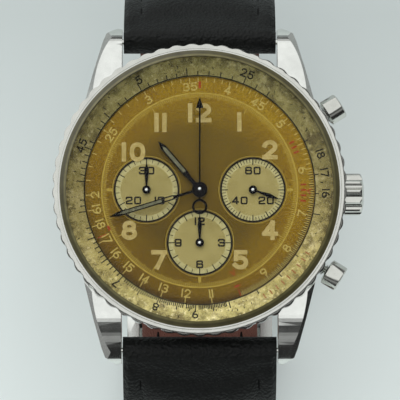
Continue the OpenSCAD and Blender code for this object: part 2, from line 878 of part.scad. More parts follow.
module minute_counter_hand() color([0.05, 0.05, 0.06])
    translate([minute_counter_at[0], minute_counter_at[1], 0]) {
        disc(0.6, 8.5, 8.66);
        small_hand(small_len);
        disc(0.18, 5.05, 8.6);
        pinion(idler_m, minute_counter_teeth, idler_angle + 180 + 180 / minute_counter_teeth,
            middle_z, middle_z + wheel_t);
        pinion(hour_idler_m, counter_pinion, counter_angle, upper_z, upper_z + wheel_t);
    }

module minute_counter_idler() color([0.8, 0.72, 0.45])
    translate([minute_idler_at[0], minute_idler_at[1], 0]) {
        pinion(runner_m, minute_idler_teeth, runner_angle + 180 + 180 / minute_idler_teeth,
            lower_z, lower_z + wheel_t);
        pinion(idler_m, minute_idler_pinion, idler_angle, lower_z, middle_z + wheel_t);
        disc(0.14, 5.05, middle_z);
    }

module hour_counter_idler() color([0.8, 0.72, 0.45])
    translate([hour_idler_at[0], hour_idler_at[1], 0]) {
        pinion(hour_idler_m, hour_idler_teeth, counter_angle + 180 + 180 / hour_idler_teeth,
            upper_z, upper_z + wheel_t);
        pinion(hour_counter_m, hour_idler_pinion, hour_idler_angle, middle_z, upper_z + wheel_t);
        disc(0.14, 5.05, 6.3);
    }

module hour_counter_hand() color([0.05, 0.05, 0.06])
    translate([hour_counter_at[0], hour_counter_at[1], 0]) {
        disc(0.6, 8.5, 8.66);
        small_hand(small_len);
        disc(0.18, 5.05, 8.6);
        pinion(hour_counter_m, hour_counter_teeth, hour_idler_angle + 180 + 180 / hour_counter_teeth,
            middle_z, middle_z + wheel_t);
    }

// ---- strap ----

// The middle line of each half, as [y, z] from its lug bar to its end
short_line = smooth([[bar_y + 0.1, bar_z - 0.1], [26.9, -1.2], [30.6, -8.4], [31.9, -17], [30.7, -26],
    [26.4, -35], [19.8, -41.4], [12.5, -43.7], [5, -43.95], [-4, -43.95]], 4);
long_line = smooth([[-bar_y - 0.1, bar_z - 0.1], [-26.9, -1.2], [-30.8, -8.4], [-32.4, -17], [-31.6, -26],
    [-27.6, -35], [-21.6, -41.6], [-16.0, -44.7], [-9.5, -46.2], [-4.2, -46.85], [5, -46.9],
    [13.6, -46.6], [21.8, -43.9], [28.9, -37.2], [33.0, -28.4]], 4);

// A band of the strap between two distances from its middle line
module band(line, a0, a1, b0, b1)
    across(40)
        polygon(concat(shifted(line, a0, a1), reversed(shifted(line, b0, b1))));

// Narrows the strap from the lugs to the buckle
module strap_width()
    rotate([90, 0, 0])
        translate([0, 0, -40])
            linear_extrude(80)
                polygon([[-strap_w / 2, 8], [-strap_w / 2, -6], [-tail_w / 2, -36], [-tail_w / 2, -55],
                    [tail_w / 2, -55], [tail_w / 2, -36], [strap_w / 2, -6], [strap_w / 2, 8]]);

module bar_round(y, z, r)
    across(40)
        translate([y, z])
            circle(r = r);

module strap_12() color([0.07, 0.07, 0.07])
    difference() {
        intersection() {
            union() {
                band(short_line, 2.1, 1.2, -0.9, 0.1);
                bar_round(bar_y, bar_z, 2.05);
            }
            strap_width();
        }
        bar_round(bar_y, bar_z, 0.8);
        bar_round(-4.0, -43.95, 0.95);
        translate([-1.5, -8, -47])
            cube([3, 6.4, 6]);
    }

module strap_12_lining() color([0.4, 0.22, 0.16])
    difference() {
        intersection() {
            band(short_line, -0.9, 0.1, -2.1, -1.2);
            strap_width();
        }
        bar_round(bar_y, bar_z, 2.05);
        bar_round(-4.0, -43.95, 0.95);
        translate([-1.5, -8, -47])
            cube([3, 6.4, 6]);
    }

module prong_hole()
    translate([-0.9, -7.5, -50])
        cube([1.8, 4.5, 6.2]);

module strap_6() color([0.07, 0.07, 0.07])
    difference() {
        intersection() {
            union() {
                band(long_line, -2.1, -0.95, 0.9, 0.0);
                bar_round(-bar_y, bar_z, 2.05);
            }
            strap_width();
        }
        bar_round(-bar_y, bar_z, 0.8);
        prong_hole();
    }

module strap_6_lining() color([0.4, 0.22, 0.16])
    difference() {
        intersection() {
            band(long_line, 0.9, 0.0, 2.1, 0.95);
            strap_width();
        }
        bar_round(-bar_y, bar_z, 2.05);
        prong_hole();
    }

module lug_bar(y)
    translate([0, y, bar_z])
        rotate([0, 90, 0]) {
            translate([0, 0, -10.9])
                cylinder(r = 0.75, h = 21.8);
            translate([0, 0, -12.2])
                cylinder(r = 0.42, h = 24.4);
        }

module lug_bar_12() color([0.7, 0.7, 0.7])
    lug_bar(bar_y);

module lug_bar_6() color([0.7, 0.7, 0.7])
    lug_bar(-bar_y);

module buckle_bar() color([0.7, 0.7, 0.7])
    translate([-10.6, -4.0, -43.95])
        rotate([0, 90, 0])
            cylinder(r = 0.6, h = 21.2);

module buckle_frame() color([0.7, 0.7, 0.69])
    difference() {
        union() {
            for (s = [-1, 1])
                translate([s * 10.45, 0, 0])
                    across(1.9)
                        polygon([[-2.6, -42.9], [-2.4, -44.6], [-3.3, -45.6], [-8, -47.6], [-12.5, -49.1],
                            [-15.0, rest_z], [-16.6, -48.9], [-17.0, -47.8], [-16.2, -46.9], [-12.5, -45.9],
                            [-8, -43.9], [-5.0, -42.4], [-3.4, -42.2]]);
            across(22.8)
                polygon([[-14.0, rest_z], [-15.6, rest_z], [-16.6, -48.9], [-17.0, -47.8],
                    [-16.2, -47.0], [-14.6, -47.1], [-13.7, -48.0]]);
        }
        translate([-15, -4.0, -43.95])
            rotate([0, 90, 0])
                cylinder(r = 0.65, h = 30);
        translate([-0.8, -17.6, rest_z - 1])
            cube([1.6, 4.4, 1.95]);
    }

// The prong turns on the bar, goes out through the strap and rests in the frame's notch
module buckle_prong() color([0.7, 0.7, 0.69])
    difference() {
        union() {
            across(1.3)
                polygon([[-3.7, -44.9], [-5.0, -44.2], [-5.9, -45.4], [-6.5, -47.6], [-7.3, -48.4],
                    [-12.4, -48.55], [-16.4, -48.6], [-16.6, -48.9], [-16.3, -49.3], [-12.0, -49.35],
                    [-6.9, -49.3], [-5.7, -48.4], [-4.7, -45.8]]);
            across(2.4)
                translate([-4.0, -43.95])
                    circle(r = 1.15);
        }
        across(10)
            translate([-4.0, -43.95])
                circle(r = 0.65);
    }

// A loop round the tail and the short half
module keeper_band(y0, y1, top, bottom) {
    rotate([90, 0, 0])
        translate([0, 0, -y1])
            linear_extrude(y1 - y0)
                difference() {
                    polygon([[-9.6, bottom], [9.6, bottom], [10.3, bottom + 0.7], [10.3, top - 0.7],
                        [9.6, top], [-9.6, top], [-10.3, top - 0.7], [-10.3, bottom + 0.7]]);
                    translate([-9.25, bottom + 0.95])
                        square([18.5, top - bottom - 1.9]);
                }
}

module fixed_keeper() color([0.06, 0.06, 0.06])
    keeper_band(1.2, 5.8, -41.55, rest_z);

module free_keeper() color([0.06, 0.06, 0.06])
    keeper_band(8.2, 12.6, -40.8, rest_z);

mid_case();
case_back();
case_back_gasket();
crown_tube();
pusher_tubes();
bezel_gasket();
bezel_ring();
bezel_snap_wire();
slide_rule_ring();
crystal();
crystal_gasket();
crown();
winding_stem();
crown_gasket();
setting_lever();
start_pusher();
reset_pusher();
start_pusher_spring();
reset_pusher_spring();
movement_ring();
main_plate();
barrel_bridge();
train_bridge();
balance_cock();
bridge_screws();
mainspring_barrel();
barrel_arbor();
centre_wheel();
third_wheel();
fourth_wheel();
escape_wheel();
pallet_fork();
balance_wheel();
hairspring();
rotor();
rotor_bearing();
cannon_pinion();
minute_wheel();
chronograph_plate();
dial();
sub_dials();
hour_hand();
minute_hand();
chronograph_hand();
small_seconds_hand();
minute_counter_hand();
hour_counter_hand();
minute_counter_idler();
hour_counter_idler();
lug_bar_12();
lug_bar_6();
strap_12();
strap_12_lining();
strap_6();
strap_6_lining();
buckle_bar();
buckle_frame();
buckle_prong();
fixed_keeper();
free_keeper();
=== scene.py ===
import json
import math
import random

import bmesh
import bpy
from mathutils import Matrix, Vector


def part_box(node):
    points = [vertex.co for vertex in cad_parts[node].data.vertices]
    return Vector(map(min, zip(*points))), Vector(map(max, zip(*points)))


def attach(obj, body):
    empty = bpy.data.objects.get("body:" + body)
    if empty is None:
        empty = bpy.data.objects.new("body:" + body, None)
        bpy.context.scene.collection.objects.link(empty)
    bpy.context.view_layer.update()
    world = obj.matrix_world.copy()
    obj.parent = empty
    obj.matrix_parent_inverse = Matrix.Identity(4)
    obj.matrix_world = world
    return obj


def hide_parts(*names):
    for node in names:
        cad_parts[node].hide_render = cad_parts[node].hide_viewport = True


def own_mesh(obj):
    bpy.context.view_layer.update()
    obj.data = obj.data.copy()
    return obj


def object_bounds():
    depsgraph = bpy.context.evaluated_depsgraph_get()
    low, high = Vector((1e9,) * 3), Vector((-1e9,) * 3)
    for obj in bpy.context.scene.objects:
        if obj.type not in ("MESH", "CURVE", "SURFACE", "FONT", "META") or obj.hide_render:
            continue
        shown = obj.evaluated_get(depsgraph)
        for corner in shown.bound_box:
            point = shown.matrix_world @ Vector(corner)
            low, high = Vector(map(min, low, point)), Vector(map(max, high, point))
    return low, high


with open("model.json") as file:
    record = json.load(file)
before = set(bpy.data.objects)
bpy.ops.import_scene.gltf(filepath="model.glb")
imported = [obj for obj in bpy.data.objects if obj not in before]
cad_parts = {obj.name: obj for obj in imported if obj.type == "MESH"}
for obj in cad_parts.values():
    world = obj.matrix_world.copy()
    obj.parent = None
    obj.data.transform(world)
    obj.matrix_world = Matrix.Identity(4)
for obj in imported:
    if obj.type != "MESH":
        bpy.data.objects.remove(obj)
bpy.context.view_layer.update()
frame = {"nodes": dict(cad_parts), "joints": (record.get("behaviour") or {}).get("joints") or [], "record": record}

# Lengths in this script are millimetres; MM turns them into Blender's metres.
MM = 0.001
SCENE = bpy.context.scene


def top(node):
    """Height of a CAD node's highest point, in millimetres."""
    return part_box(node)[1][2] / MM


def joint_at(name):
    """(x, y, z) of a joint, in millimetres."""
    joint = next(j for j in frame["joints"] if j["name"] == name)
    return tuple(c / MM for c in joint["pos_m"])


# ---- materials ----

class Finish:
    """A node material whose helpers return sockets to be wired together."""

    def __init__(self, name, rough=0.5, metallic=0.0, **fixed):
        self.material = bpy.data.materials.new(name)
        self.material.use_nodes = True
        self.tree = self.material.node_tree
        self.shader = self.tree.nodes["Principled BSDF"]
        self.spot = self.add("ShaderNodeTexCoord").outputs["Object"]
        self.set(self.shader, "Roughness", rough)
        self.set(self.shader, "Metallic", metallic)
        for key, value in fixed.items():
            self.set(self.shader, key.replace("_", " "), value)

    def add(self, kind, **inputs):
        node = self.tree.nodes.new(kind)
        for key, value in inputs.items():
            self.set(node, key.replace("_", " "), value)
        return node

    def set(self, node, socket, value):
        if isinstance(value, bpy.types.NodeSocket):
            self.tree.links.new(value, node.inputs[socket])
        else:
            node.inputs[socket].default_value = value

    def paint(self, **sockets):
        for key, value in sockets.items():
            self.set(self.shader, key.replace("_", " "), value)

    def scaled(self, size, stretch=(1, 1, 1)):
        """The object coordinate in units of size millimetres."""
        scale = self.add("ShaderNodeMapping", Vector=self.spot)
        scale.inputs["Scale"].default_value = [k / (size * MM) for k in stretch]
        return scale.outputs[0]

    def noise(self, size, detail=3.0, rough=0.55, stretch=(1, 1, 1)):
        """Noise between 0 and 1 whose blotches are about size millimetres."""
        node = self.add("ShaderNodeTexNoise", Vector=self.scaled(size, stretch), Scale=1.0,
                        Detail=detail, Roughness=rough)
        return node.outputs["Fac"]

    def cells(self, size):
        """Distance to the nearest of many points about size millimetres apart."""
        node = self.add("ShaderNodeTexVoronoi", Vector=self.scaled(size), Scale=1.0)
        return node.outputs["Distance"]

    def maths(self, operation, a, b):
        node = self.tree.nodes.new("ShaderNodeMath")
        node.operation = operation
        self.set(node, 0, a)
        self.set(node, 1, b)
        return node.outputs[0]

    def ramp(self, fac, *stops):
        """Maps a value to numbers or colours: stops are (position, number or colour)."""
        node = self.add("ShaderNodeValToRGB", Fac=fac)
        elements = node.color_ramp.elements
        while len(elements) < len(stops):
            elements.new(0.5)
        for element, (position, value) in zip(elements, stops):
            element.position = position
            element.color = (*value, 1) if isinstance(value, tuple) else (value, value, value, 1)
        return node.outputs["Color"]

    def graded(self, length, low, high, *stops):
        """A ramp over the lengths from low to high; its stops are at lengths too."""
        fac = self.maths("DIVIDE", self.maths("SUBTRACT", length, low), high - low)
        return self.ramp(fac, *(((at - low) / (high - low), value) for at, value in stops))

    def mix(self, fac, a, b, blend="MIX"):
        node = self.tree.nodes.new("ShaderNodeMix")
        node.data_type = "RGBA"
        node.blend_type = blend
        colour = lambda c: (*c, 1) if isinstance(c, tuple) else c
        self.set(node, 0, fac)
        self.set(node, 6, colour(a))
        self.set(node, 7, colour(b))
        return node.outputs[2]

    def times(self, a, b):
        return self.mix(1.0, a, b, "MULTIPLY")

    def radius(self):
        """Distance from the dial's axis, in millimetres."""
        flat = self.tree.nodes.new("ShaderNodeVectorMath")
        flat.operation = "MULTIPLY"
        self.set(flat, 0, self.spot)
        self.set(flat, 1, (1 / MM, 1 / MM, 0))
        length = self.tree.nodes.new("ShaderNodeVectorMath")
        length.operation = "LENGTH"
        self.set(length, 0, flat.outputs[0])
        return length.outputs["Value"]

    def along(self, axis):
        """The object coordinate along an axis, in millimetres."""
        split = self.add("ShaderNodeSeparateXYZ", Vector=self.spot)
        return self.maths("MULTIPLY", split.outputs[axis], 1 / MM)

    def bump(self, height, depth, strength=0.6):
        """A bump of depth millimetres."""
        node = self.add("ShaderNodeBump", Height=height, Strength=strength, Distance=depth * MM)
        self.paint(Normal=node.outputs[0])


def rgb(*screen):
    """A screen colour, three numbers from 0 to 255, as linear values."""
    return tuple(((c / 255 + 0.055) / 1.055) ** 2.4 if c > 10 else c / 255 / 12.92
                 for c in screen)


WHITE = rgb(255, 255, 255)
DISC_R = 20.0  # reaches just past the crystal; the radial ramps run from the axis to here


def metal(name, colour, rough, wear=0.08, scratch=0.25, grain=(1, 1, 1), depth=0.004):
    """Polished or brushed metal: scratch is the scratches' size and grain stretches them."""
    f = Finish(name, metallic=1.0)
    smudge = f.noise(2.6, 4)
    hair = f.noise(scratch, 2, stretch=grain)
    shade = f.ramp(smudge, (0.3, tuple(c * 0.86 for c in colour)), (0.7, colour))
    f.paint(Base_Color=shade)
    f.paint(Roughness=f.maths("ADD", f.maths("MULTIPLY", smudge, wear), rough - wear / 2))
    f.bump(hair, depth, 0.35)
    return f.material


def dial_paint():
    """Ochre paint, duller in the middle; painted light brightens the upper right and a painted shadow darkens the
    rim low down.
    """
    f = Finish("aged_ochre_dial_painted_light_and_shadow", rough=0.62, Specular_IOR_Level=0.2)
    grain = f.noise(0.3, 4, 0.75)
    cloud = f.noise(4.5, 4, 0.6)
    fleck = f.noise(0.9, 4, 0.65)
    body = f.ramp(cloud, (0.32, rgb(112, 91, 14)), (0.52, rgb(117, 95, 16)),
                  (0.72, rgb(123, 100, 20)))
    outer = f.ramp(cloud, (0.3, rgb(150, 116, 14)), (0.7, rgb(166, 136, 28)))
    zone = f.graded(f.radius(), 0.0, DISC_R, (8.4, 0.0), (12.4, 0.75), (14.0, 1.0))
    colour = f.mix(zone, body, outer)
    # painted light: the dial is painted brighter towards the upper right and darker towards the lower left
    side = f.maths("ADD", f.maths("MULTIPLY", f.along("X"), 0.6), f.along("Y"))
    shade = f.graded(side, -24.0, 24.0, (-19.2, rgb(182, 177, 166)), (0.0, rgb(230, 226, 218)),
                     (19.2, rgb(250, 250, 248)))
    colour = f.times(colour, shade)
    # painted shadow: the sloping ring's shadow, a dark brown band at the dial's rim towards the bottom
    rim = f.graded(f.radius(), 0.0, DISC_R, (15.0, 0.0), (16.2, 1.0))
    low = f.graded(f.along("Y"), -16.0, 16.0, (-16.0, 1.0), (-1.6, 0.25), (3.2, 0.0))
    colour = f.mix(f.maths("MULTIPLY", rim, low), colour, rgb(70, 50, 12))
    colour = f.times(colour, f.ramp(grain, (0.38, rgb(176, 172, 150)), (0.6, WHITE)))
    colour = f.mix(f.ramp(fleck, (0.6, 0.0), (0.74, 0.35)), colour, rgb(88, 66, 16))
    f.paint(Base_Color=colour)
    f.paint(Roughness=f.maths("ADD", f.maths("MULTIPLY", cloud, 0.2), 0.5))
    f.bump(grain, 0.02, 0.5)
    return f.material


def sub_dial_paint():
    """Cream paint with brown specks."""
    f = Finish("aged_cream_dial", rough=0.6, Specular_IOR_Level=0.2)
    grain = f.noise(0.14, 3, 0.7)
    cloud = f.noise(2.4, 4)
    speck = f.noise(0.42, 3, 0.7)
    colour = f.ramp(cloud, (0.3, rgb(147, 135, 80)), (0.7, rgb(164, 152, 95)))
    colour = f.mix(f.ramp(speck, (0.62, 0.0), (0.74, 0.6)), colour, rgb(132, 108, 52))
    colour = f.times(colour, f.ramp(grain, (0.3, rgb(228, 226, 220)), (0.7, WHITE)))
    f.paint(Base_Color=colour)
    f.bump(grain, 0.015, 0.4)
    return f.material


def flange_paint():
    """The slide rule's cream paint, which has greyed, browned and flaked, with painted light: brighter at the
    bottom, darker at the top.
    """
    f = Finish("worn_slide_rule_cream_painted_light", rough=0.55, Specular_IOR_Level=0.25)
    cloud = f.noise(2.4, 5, 0.62)
    patch = f.noise(0.9, 5, 0.68)
    stain = f.noise(2.9, 4, 0.6)
    dirt = f.noise(0.34, 4, 0.7)
    bright = f.noise(0.6, 3, 0.6)
    colour = f.ramp(cloud, (0.3, rgb(158, 148, 92)), (0.5, rgb(196, 184, 118)),
                    (0.68, rgb(226, 214, 156)))
    colour = f.mix(f.ramp(patch, (0.5, 0.0), (0.6, 0.55)), colour, rgb(140, 128, 74))
    colour = f.mix(f.ramp(stain, (0.56, 0.0), (0.66, 0.7)), colour, rgb(116, 102, 64))
    edge = f.graded(f.radius(), 0.0, DISC_R, (17.6, 0.0), (18.7, 1.0))
    crust = f.maths("MULTIPLY", edge, f.ramp(patch, (0.42, 0.0), (0.6, 0.75)))
    colour = f.mix(crust, colour, rgb(92, 82, 48))
    colour = f.mix(f.ramp(dirt, (0.58, 0.0), (0.66, 0.85)), colour, rgb(66, 54, 30))
    colour = f.mix(f.ramp(bright, (0.6, 0.0), (0.66, 0.6)), colour, rgb(240, 230, 180))
    # painted light: the ring is painted brighter at the bottom and darker from the middle up
    light = f.graded(f.along("Y"), -18.5, 18.5, (-18.5, WHITE), (-11.1, rgb(235, 230, 218)),
                     (-2.96, rgb(186, 181, 168)), (4.44, rgb(176, 173, 162)),
                     (18.5, rgb(182, 184, 172)))
    f.paint(Base_Color=f.times(colour, light))
    f.paint(Roughness=f.maths("ADD", f.maths("MULTIPLY", patch, 0.4), 0.3))
    f.bump(patch, 0.04, 0.6)
    return f.material


def print_paint(name, dark, light, rough=0.6, size=0.5):
    """Ink or paint for printed marks, a little uneven."""
    f = Finish(name, rough=rough, Specular_IOR_Level=0.2)
    f.paint(Base_Color=f.ramp(f.noise(size, 4, 0.65), (0.35, dark), (0.65, light)))
    f.bump(f.noise(0.12, 2), 0.01, 0.4)
    return f.material


def leather(name, dark, light, pore, crease, rough, gloss=0.4):
    """Grained leather: pore and crease are the sizes of its two kinds of relief."""
    f = Finish(name, rough=rough, Specular_IOR_Level=gloss)
    pebble = f.cells(pore)
    fold = f.noise(crease, 5, 0.62, stretch=(0.6, 1.0, 1.0))
    fine = f.noise(pore * 0.5, 3, 0.7)
    tone = f.mix(0.5, f.ramp(fold, (0.3, dark), (0.7, light)),
                 f.ramp(fine, (0.3, dark), (0.75, light)))
    f.paint(Base_Color=tone)
    f.paint(Roughness=f.maths("ADD", f.maths("MULTIPLY", fold, 0.3), rough - 0.12))
    grain = f.maths("ADD", f.maths("MULTIPLY", pebble, 0.8), f.maths("MULTIPLY", fold, 1.2))
    f.bump(f.maths("ADD", grain, f.maths("MULTIPLY", fine, 0.4)), 0.2, 0.9)
    return f.material


def clear_glass():
    """The crystal: nothing but a faint reflection that grows towards its rim."""
    f = Finish("crystal_glass", rough=0.02, metallic=1.0)
    edge = f.add("ShaderNodeLayerWeight", Blend=0.35)
    haze = f.noise(6.0, 3)
    f.paint(Base_Color=f.ramp(haze, (0.3, rgb(228, 232, 230)), (0.7, rgb(246, 248, 246))))
    f.paint(Alpha=f.ramp(edge.outputs["Facing"], (0.0, 0.004), (0.5, 0.01), (1.0, 0.3)))
    return f.material


def rubber():
    f = Finish("black_rubber", rough=0.75)
    f.paint(Base_Color=f.ramp(f.noise(0.8, 4), (0.3, rgb(22, 22, 22)), (0.7, rgb(34, 34, 33))))
    f.bump(f.noise(0.15, 3), 0.02)
    return f.material


def nylon():
    """The crystal's gasket, once clear and now brown."""
    f = Finish("aged_brown_nylon", rough=0.3, Coat_Weight=0.3, Coat_Roughness=0.15)
    cloud = f.noise(1.6, 4, 0.6)
    colour = f.ramp(cloud, (0.3, rgb(84, 78, 48)), (0.7, rgb(112, 106, 70)))
    rim = f.graded(f.radius(), 0.0, DISC_R, (18.76, 0.0), (18.88, 1.0), (19.0, 1.0),
                   (19.24, 0.3), (19.68, 0.6))
    f.paint(Base_Color=f.mix(rim, rgb(24, 22, 14), colour))
    f.bump(f.noise(0.3, 3), 0.01, 0.4)
    return f.material


def thread_paint():
    f = Finish("black_thread", rough=0.8, Specular_IOR_Level=0.15)
    f.paint(Base_Color=f.ramp(f.noise(0.3, 3), (0.3, rgb(4, 4, 4)), (0.7, rgb(14, 14, 14))))
    f.bump(f.noise(0.12, 2, stretch=(3, 1, 1)), 0.05)
    return f.material


CASE_STEEL = metal("polished_case_steel", rgb(226, 227, 223), 0.13, 0.08)
BEZEL_STEEL = metal("polished_bezel_steel", rgb(206, 206, 200), 0.17, 0.1, 0.18)
MOVEMENT_STEEL = metal("striped_bridge_steel", rgb(190, 190, 190), 0.3, 0.1, 0.5,
                       grain=(1, 0.06, 1), depth=0.01)
BRASS = metal("machined_brass", rgb(202, 170, 98), 0.32, 0.1)
BLUED = metal("blued_steel", rgb(44, 58, 128), 0.2, 0.06)
DIAL = dial_paint()
SUB_DIAL = sub_dial_paint()
FLANGE = flange_paint()
HAND_BLACK = metal("black_lacquered_hand", rgb(22, 21, 22), 0.35, 0.12)
LUME = print_paint("aged_lume", rgb(78, 78, 58), rgb(112, 111, 88), 0.7, 0.6)
BLACK_INK = print_paint("black_ink", rgb(14, 12, 8), rgb(26, 22, 16))
WORN_INK = print_paint("worn_black_ink", rgb(10, 9, 6), rgb(40, 36, 22), 0.6, 0.3)
SCALE_INK = print_paint("faded_scale_print", rgb(150, 132, 58), rgb(184, 166, 96), 0.6, 0.35)
TRACK_INK = print_paint("faded_track_print", rgb(146, 124, 42), rgb(170, 150, 66), 0.6, 0.4)
NUMERAL_TAN = print_paint("aged_numeral_paint", rgb(156, 138, 78), rgb(178, 160, 104), 0.65, 0.8)
RED_INK = print_paint("faded_red_print", rgb(132, 46, 18), rgb(158, 62, 28))
FADED_RED = print_paint("brown_red_print", rgb(134, 84, 48), rgb(156, 108, 66))
WHITE_TRACK = print_paint("pale_tick_track", rgb(158, 150, 100), rgb(178, 170, 120))
STRAP_BLACK = leather("black_strap_leather", rgb(4, 5, 5), rgb(17, 19, 18), 0.42, 1.6, 0.42,
                      gloss=0.25)
LINING = leather("brown_lining_leather", rgb(78, 44, 36), rgb(104, 64, 52), 0.25, 2.2, 0.55)
KEEPER_BLACK = leather("black_keeper_leather", rgb(22, 23, 23), rgb(40, 41, 41), 0.28, 1.2, 0.46)
THREAD = thread_paint()
GLASS = clear_glass()
RUBBER = rubber()
NYLON = nylon()

SLOT_FINISH = {
    "case_steel": CASE_STEEL, "bezel_steel": BEZEL_STEEL, "movement_steel": MOVEMENT_STEEL,
    "movement_brass": BRASS, "blued_screws": BLUED, "dial_ochre": DIAL, "dial_cream": SUB_DIAL,
    "slide_rule_cream": FLANGE, "hand_black": HAND_BLACK, "hand_lume": HAND_BLACK,
    "crystal": GLASS, "seal_rubber": RUBBER, "seal_nylon": NYLON, "strap_leather": STRAP_BLACK,
    "lining_leather": LINING, "keeper_leather": KEEPER_BLACK,
}
BEVELLED = {"mid_case": 0.1, "bezel_ring": 0.05, "crown": 0.05, "start_pusher": 0.04,
            "reset_pusher": 0.04, "buckle_frame": 0.15, "buckle_prong": 0.12, "case_back": 0.08}
SHARP_EDGE = math.radians(28)
SAME_POINT = 0.001 * MM
for part in frame["record"]["subparts"]:
    node = frame["nodes"][part["node"]]
    for place in node.material_slots:
        place.material = SLOT_FINISH[part["material_slot"]]
    if part["node"] in BEVELLED:
        weld = node.modifiers.new("weld", "WELD")
        weld.merge_threshold = SAME_POINT
        bevel = node.modifiers.new("bevel", "BEVEL")
        bevel.width = BEVELLED[part["node"]] * MM
        bevel.segments = 2
        bevel.limit_method = "ANGLE"
        bevel.angle_limit = SHARP_EDGE


# ---- building pieces ----

def mesh_of(name, verts, faces, smooth=0):
    """A closed mesh from millimetres, shaded smooth across edges below that many degrees."""
    mesh = bpy.data.meshes.new(name)
    mesh.from_pydata([[c * MM for c in v] for v in verts], [], faces)
    shape = bmesh.new()
    shape.from_mesh(mesh)
    bmesh.ops.recalc_face_normals(shape, faces=shape.faces)
    limit = math.radians(smooth)
    for face in shape.faces:
        face.smooth = smooth > 0
    for edge in shape.edges:
        edge.smooth = edge.is_manifold and edge.calc_face_angle(0) < limit
    shape.to_mesh(mesh)
    shape.free()
    return mesh


def piece(name, verts, faces, material, body, smooth=30):
    """A closed mesh from millimetres, riding on a body."""
    mesh = mesh_of(name, verts, faces, smooth)
    mesh.materials.append(material)
    thing = bpy.data.objects.new(name, mesh)
    SCENE.collection.objects.link(thing)
    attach(thing, body)
    return thing


def skin(rings, size, base=0, closed=False):
    """The quads that join rings of size points each, one ring to the next."""
    faces = []
    for i in range(rings if closed else rings - 1):
        here, there = base + i * size, base + (i + 1) % rings * size
        for k in range(size):
            j = (k + 1) % size
            faces.append((here + k, here + j, there + j, there + k))
    return faces


def caps(rings, size, base=0):
    """The two end faces of such a run of rings."""
    last = base + (rings - 1) * size
    return [tuple(range(base, base + size)), tuple(range(last, last + size))]


def polar(r, angle):
    """A point at a clockwise angle from 12 o'clock."""
    return r * math.sin(math.radians(angle)), r * math.cos(math.radians(angle))


SINK = 0.01  # how far a mark's underside lies below the surface it is printed on


class Ink:
    """Printed marks as thin closed strips, lying on the surface height(x, y)."""

    def __init__(self, height, thick):
        self.height = height
        self.thick = thick
        self.lift = 0.0
        self.verts = []
        self.faces = []

    def strip(self, points, width, closed=False, cap=False):
        """A ribbon of that width along the points, with mitred corners."""
        points = [Vector(p) for p in points]
        if cap:
            first = (points[0] - points[1]).normalized() * width / 2
            last = (points[-1] - points[-2]).normalized() * width / 2
            points = [points[0] + first, *points[1:-1], points[-1] + last]
        count = len(points)
        start = len(self.verts)
        for i, p in enumerate(points):
            a = points[i - 1] if i or closed else p
            b = points[(i + 1) % count] if i < count - 1 or closed else p
            d0 = (p - a).normalized() if (p - a).length > 1e-9 else (b - p).normalized()
            d1 = (b - p).normalized() if (b - p).length > 1e-9 else d0
            side = Vector((-(d0 + d1).y, (d0 + d1).x))
            side = side.normalized() if side.length > 1e-6 else Vector((-d0.y, d0.x))
            stretch = 1 / max(0.5, side.dot(Vector((-d0.y, d0.x))))
            for s in (1, -1):
                q = p + side * (s * width / 2 * stretch)
                z = self.height(q.x, q.y)
                self.verts += [(q.x, q.y, z - SINK), (q.x, q.y, z + self.thick + self.lift)]
        for i in range(count if closed else count - 1):
            j = (i + 1) % count
            a, b = start + 4 * i, start + 4 * j
            self.faces += [(a + 1, b + 1, b + 3, a + 3), (a, a + 2, b + 2, b),
                           (a, b, b + 1, a + 1), (a + 2, a + 3, b + 3, b + 2)]
        if not closed:
            a, b = start, start + 4 * (count - 1)
            self.faces += [(a, a + 1, a + 3, a + 2), (b, b + 2, b + 3, b + 1)]

    def tick(self, angle, r0, r1, width, about=(0, 0)):
        a, b = polar(r0, angle), polar(r1, angle)
        self.strip([(a[0] + about[0], a[1] + about[1]), (b[0] + about[0], b[1] + about[1])], width)

    def ring(self, r, width, about=(0, 0), count=240):
        circle = [polar(r, 360 * i / count) for i in range(count)]
        self.strip([(x + about[0], y + about[1]) for x, y in circle], width, closed=True)

    def write(self, text, at, turn, high, wide, stroke, style="round", gap=None):
        """Digits centred at a point; turn is clockwise. wide is one digit's width."""
        c, s = math.cos(math.radians(turn)), math.sin(math.radians(turn))
        gap = stroke * 0.9 if gap is None else gap
        widths = [stroke if ch == "1" else wide for ch in text]
        x = -(sum(widths) + gap * (len(text) - 1)) / 2
        for ch, w in zip(text, widths):
            for k, (path, closed) in enumerate(DIGITS[style][ch]):
                self.lift = 0.004 * k  # keeps strokes that cross from sharing a plane
                spots = []
                for px, py in path:
                    lx = x + w / 2 + px * (w - stroke) / 2
                    ly = py * (high - stroke) / 2
                    spots.append((at[0] + lx * c + ly * s, at[1] - lx * s + ly * c))
                self.strip(spots, stroke, closed, cap=not closed)
            x += w + gap
        self.lift = 0.0

    def done(self, name, material, body):
        return piece(name, self.verts, self.faces, material, body, smooth=0)


ARC_STEPS, LOOP_STEPS, FILLET_STEPS = 12, 24, 4


def arc(cx, cy, rx, ry, a0, a1):
    """Points on an ellipse from one angle to another, anticlockwise from the right."""
    turns = [math.radians(a0 + (a1 - a0) * i / ARC_STEPS) for i in range(ARC_STEPS + 1)]
    return [(cx + rx * math.cos(a), cy + ry * math.sin(a)) for a in turns]


def filleted(path, r, closed=False):
    """The path with its corners rounded."""
    out = []
    count = len(path)
    for i, p in enumerate(path):
        if not closed and i in (0, count - 1):
            out.append(p)
            continue
        p, a, b = Vector(p), Vector(path[i - 1]), Vector(path[(i + 1) % count])
        q0, q1 = p + (a - p).normalized() * r, p + (b - p).normalized() * r
        for k in range(FILLET_STEPS + 1):
            t = k / FILLET_STEPS
            v = q0 * (1 - t) ** 2 + p * (2 * t * (1 - t)) + q1 * t ** 2
            out.append((v.x, v.y))
    return out


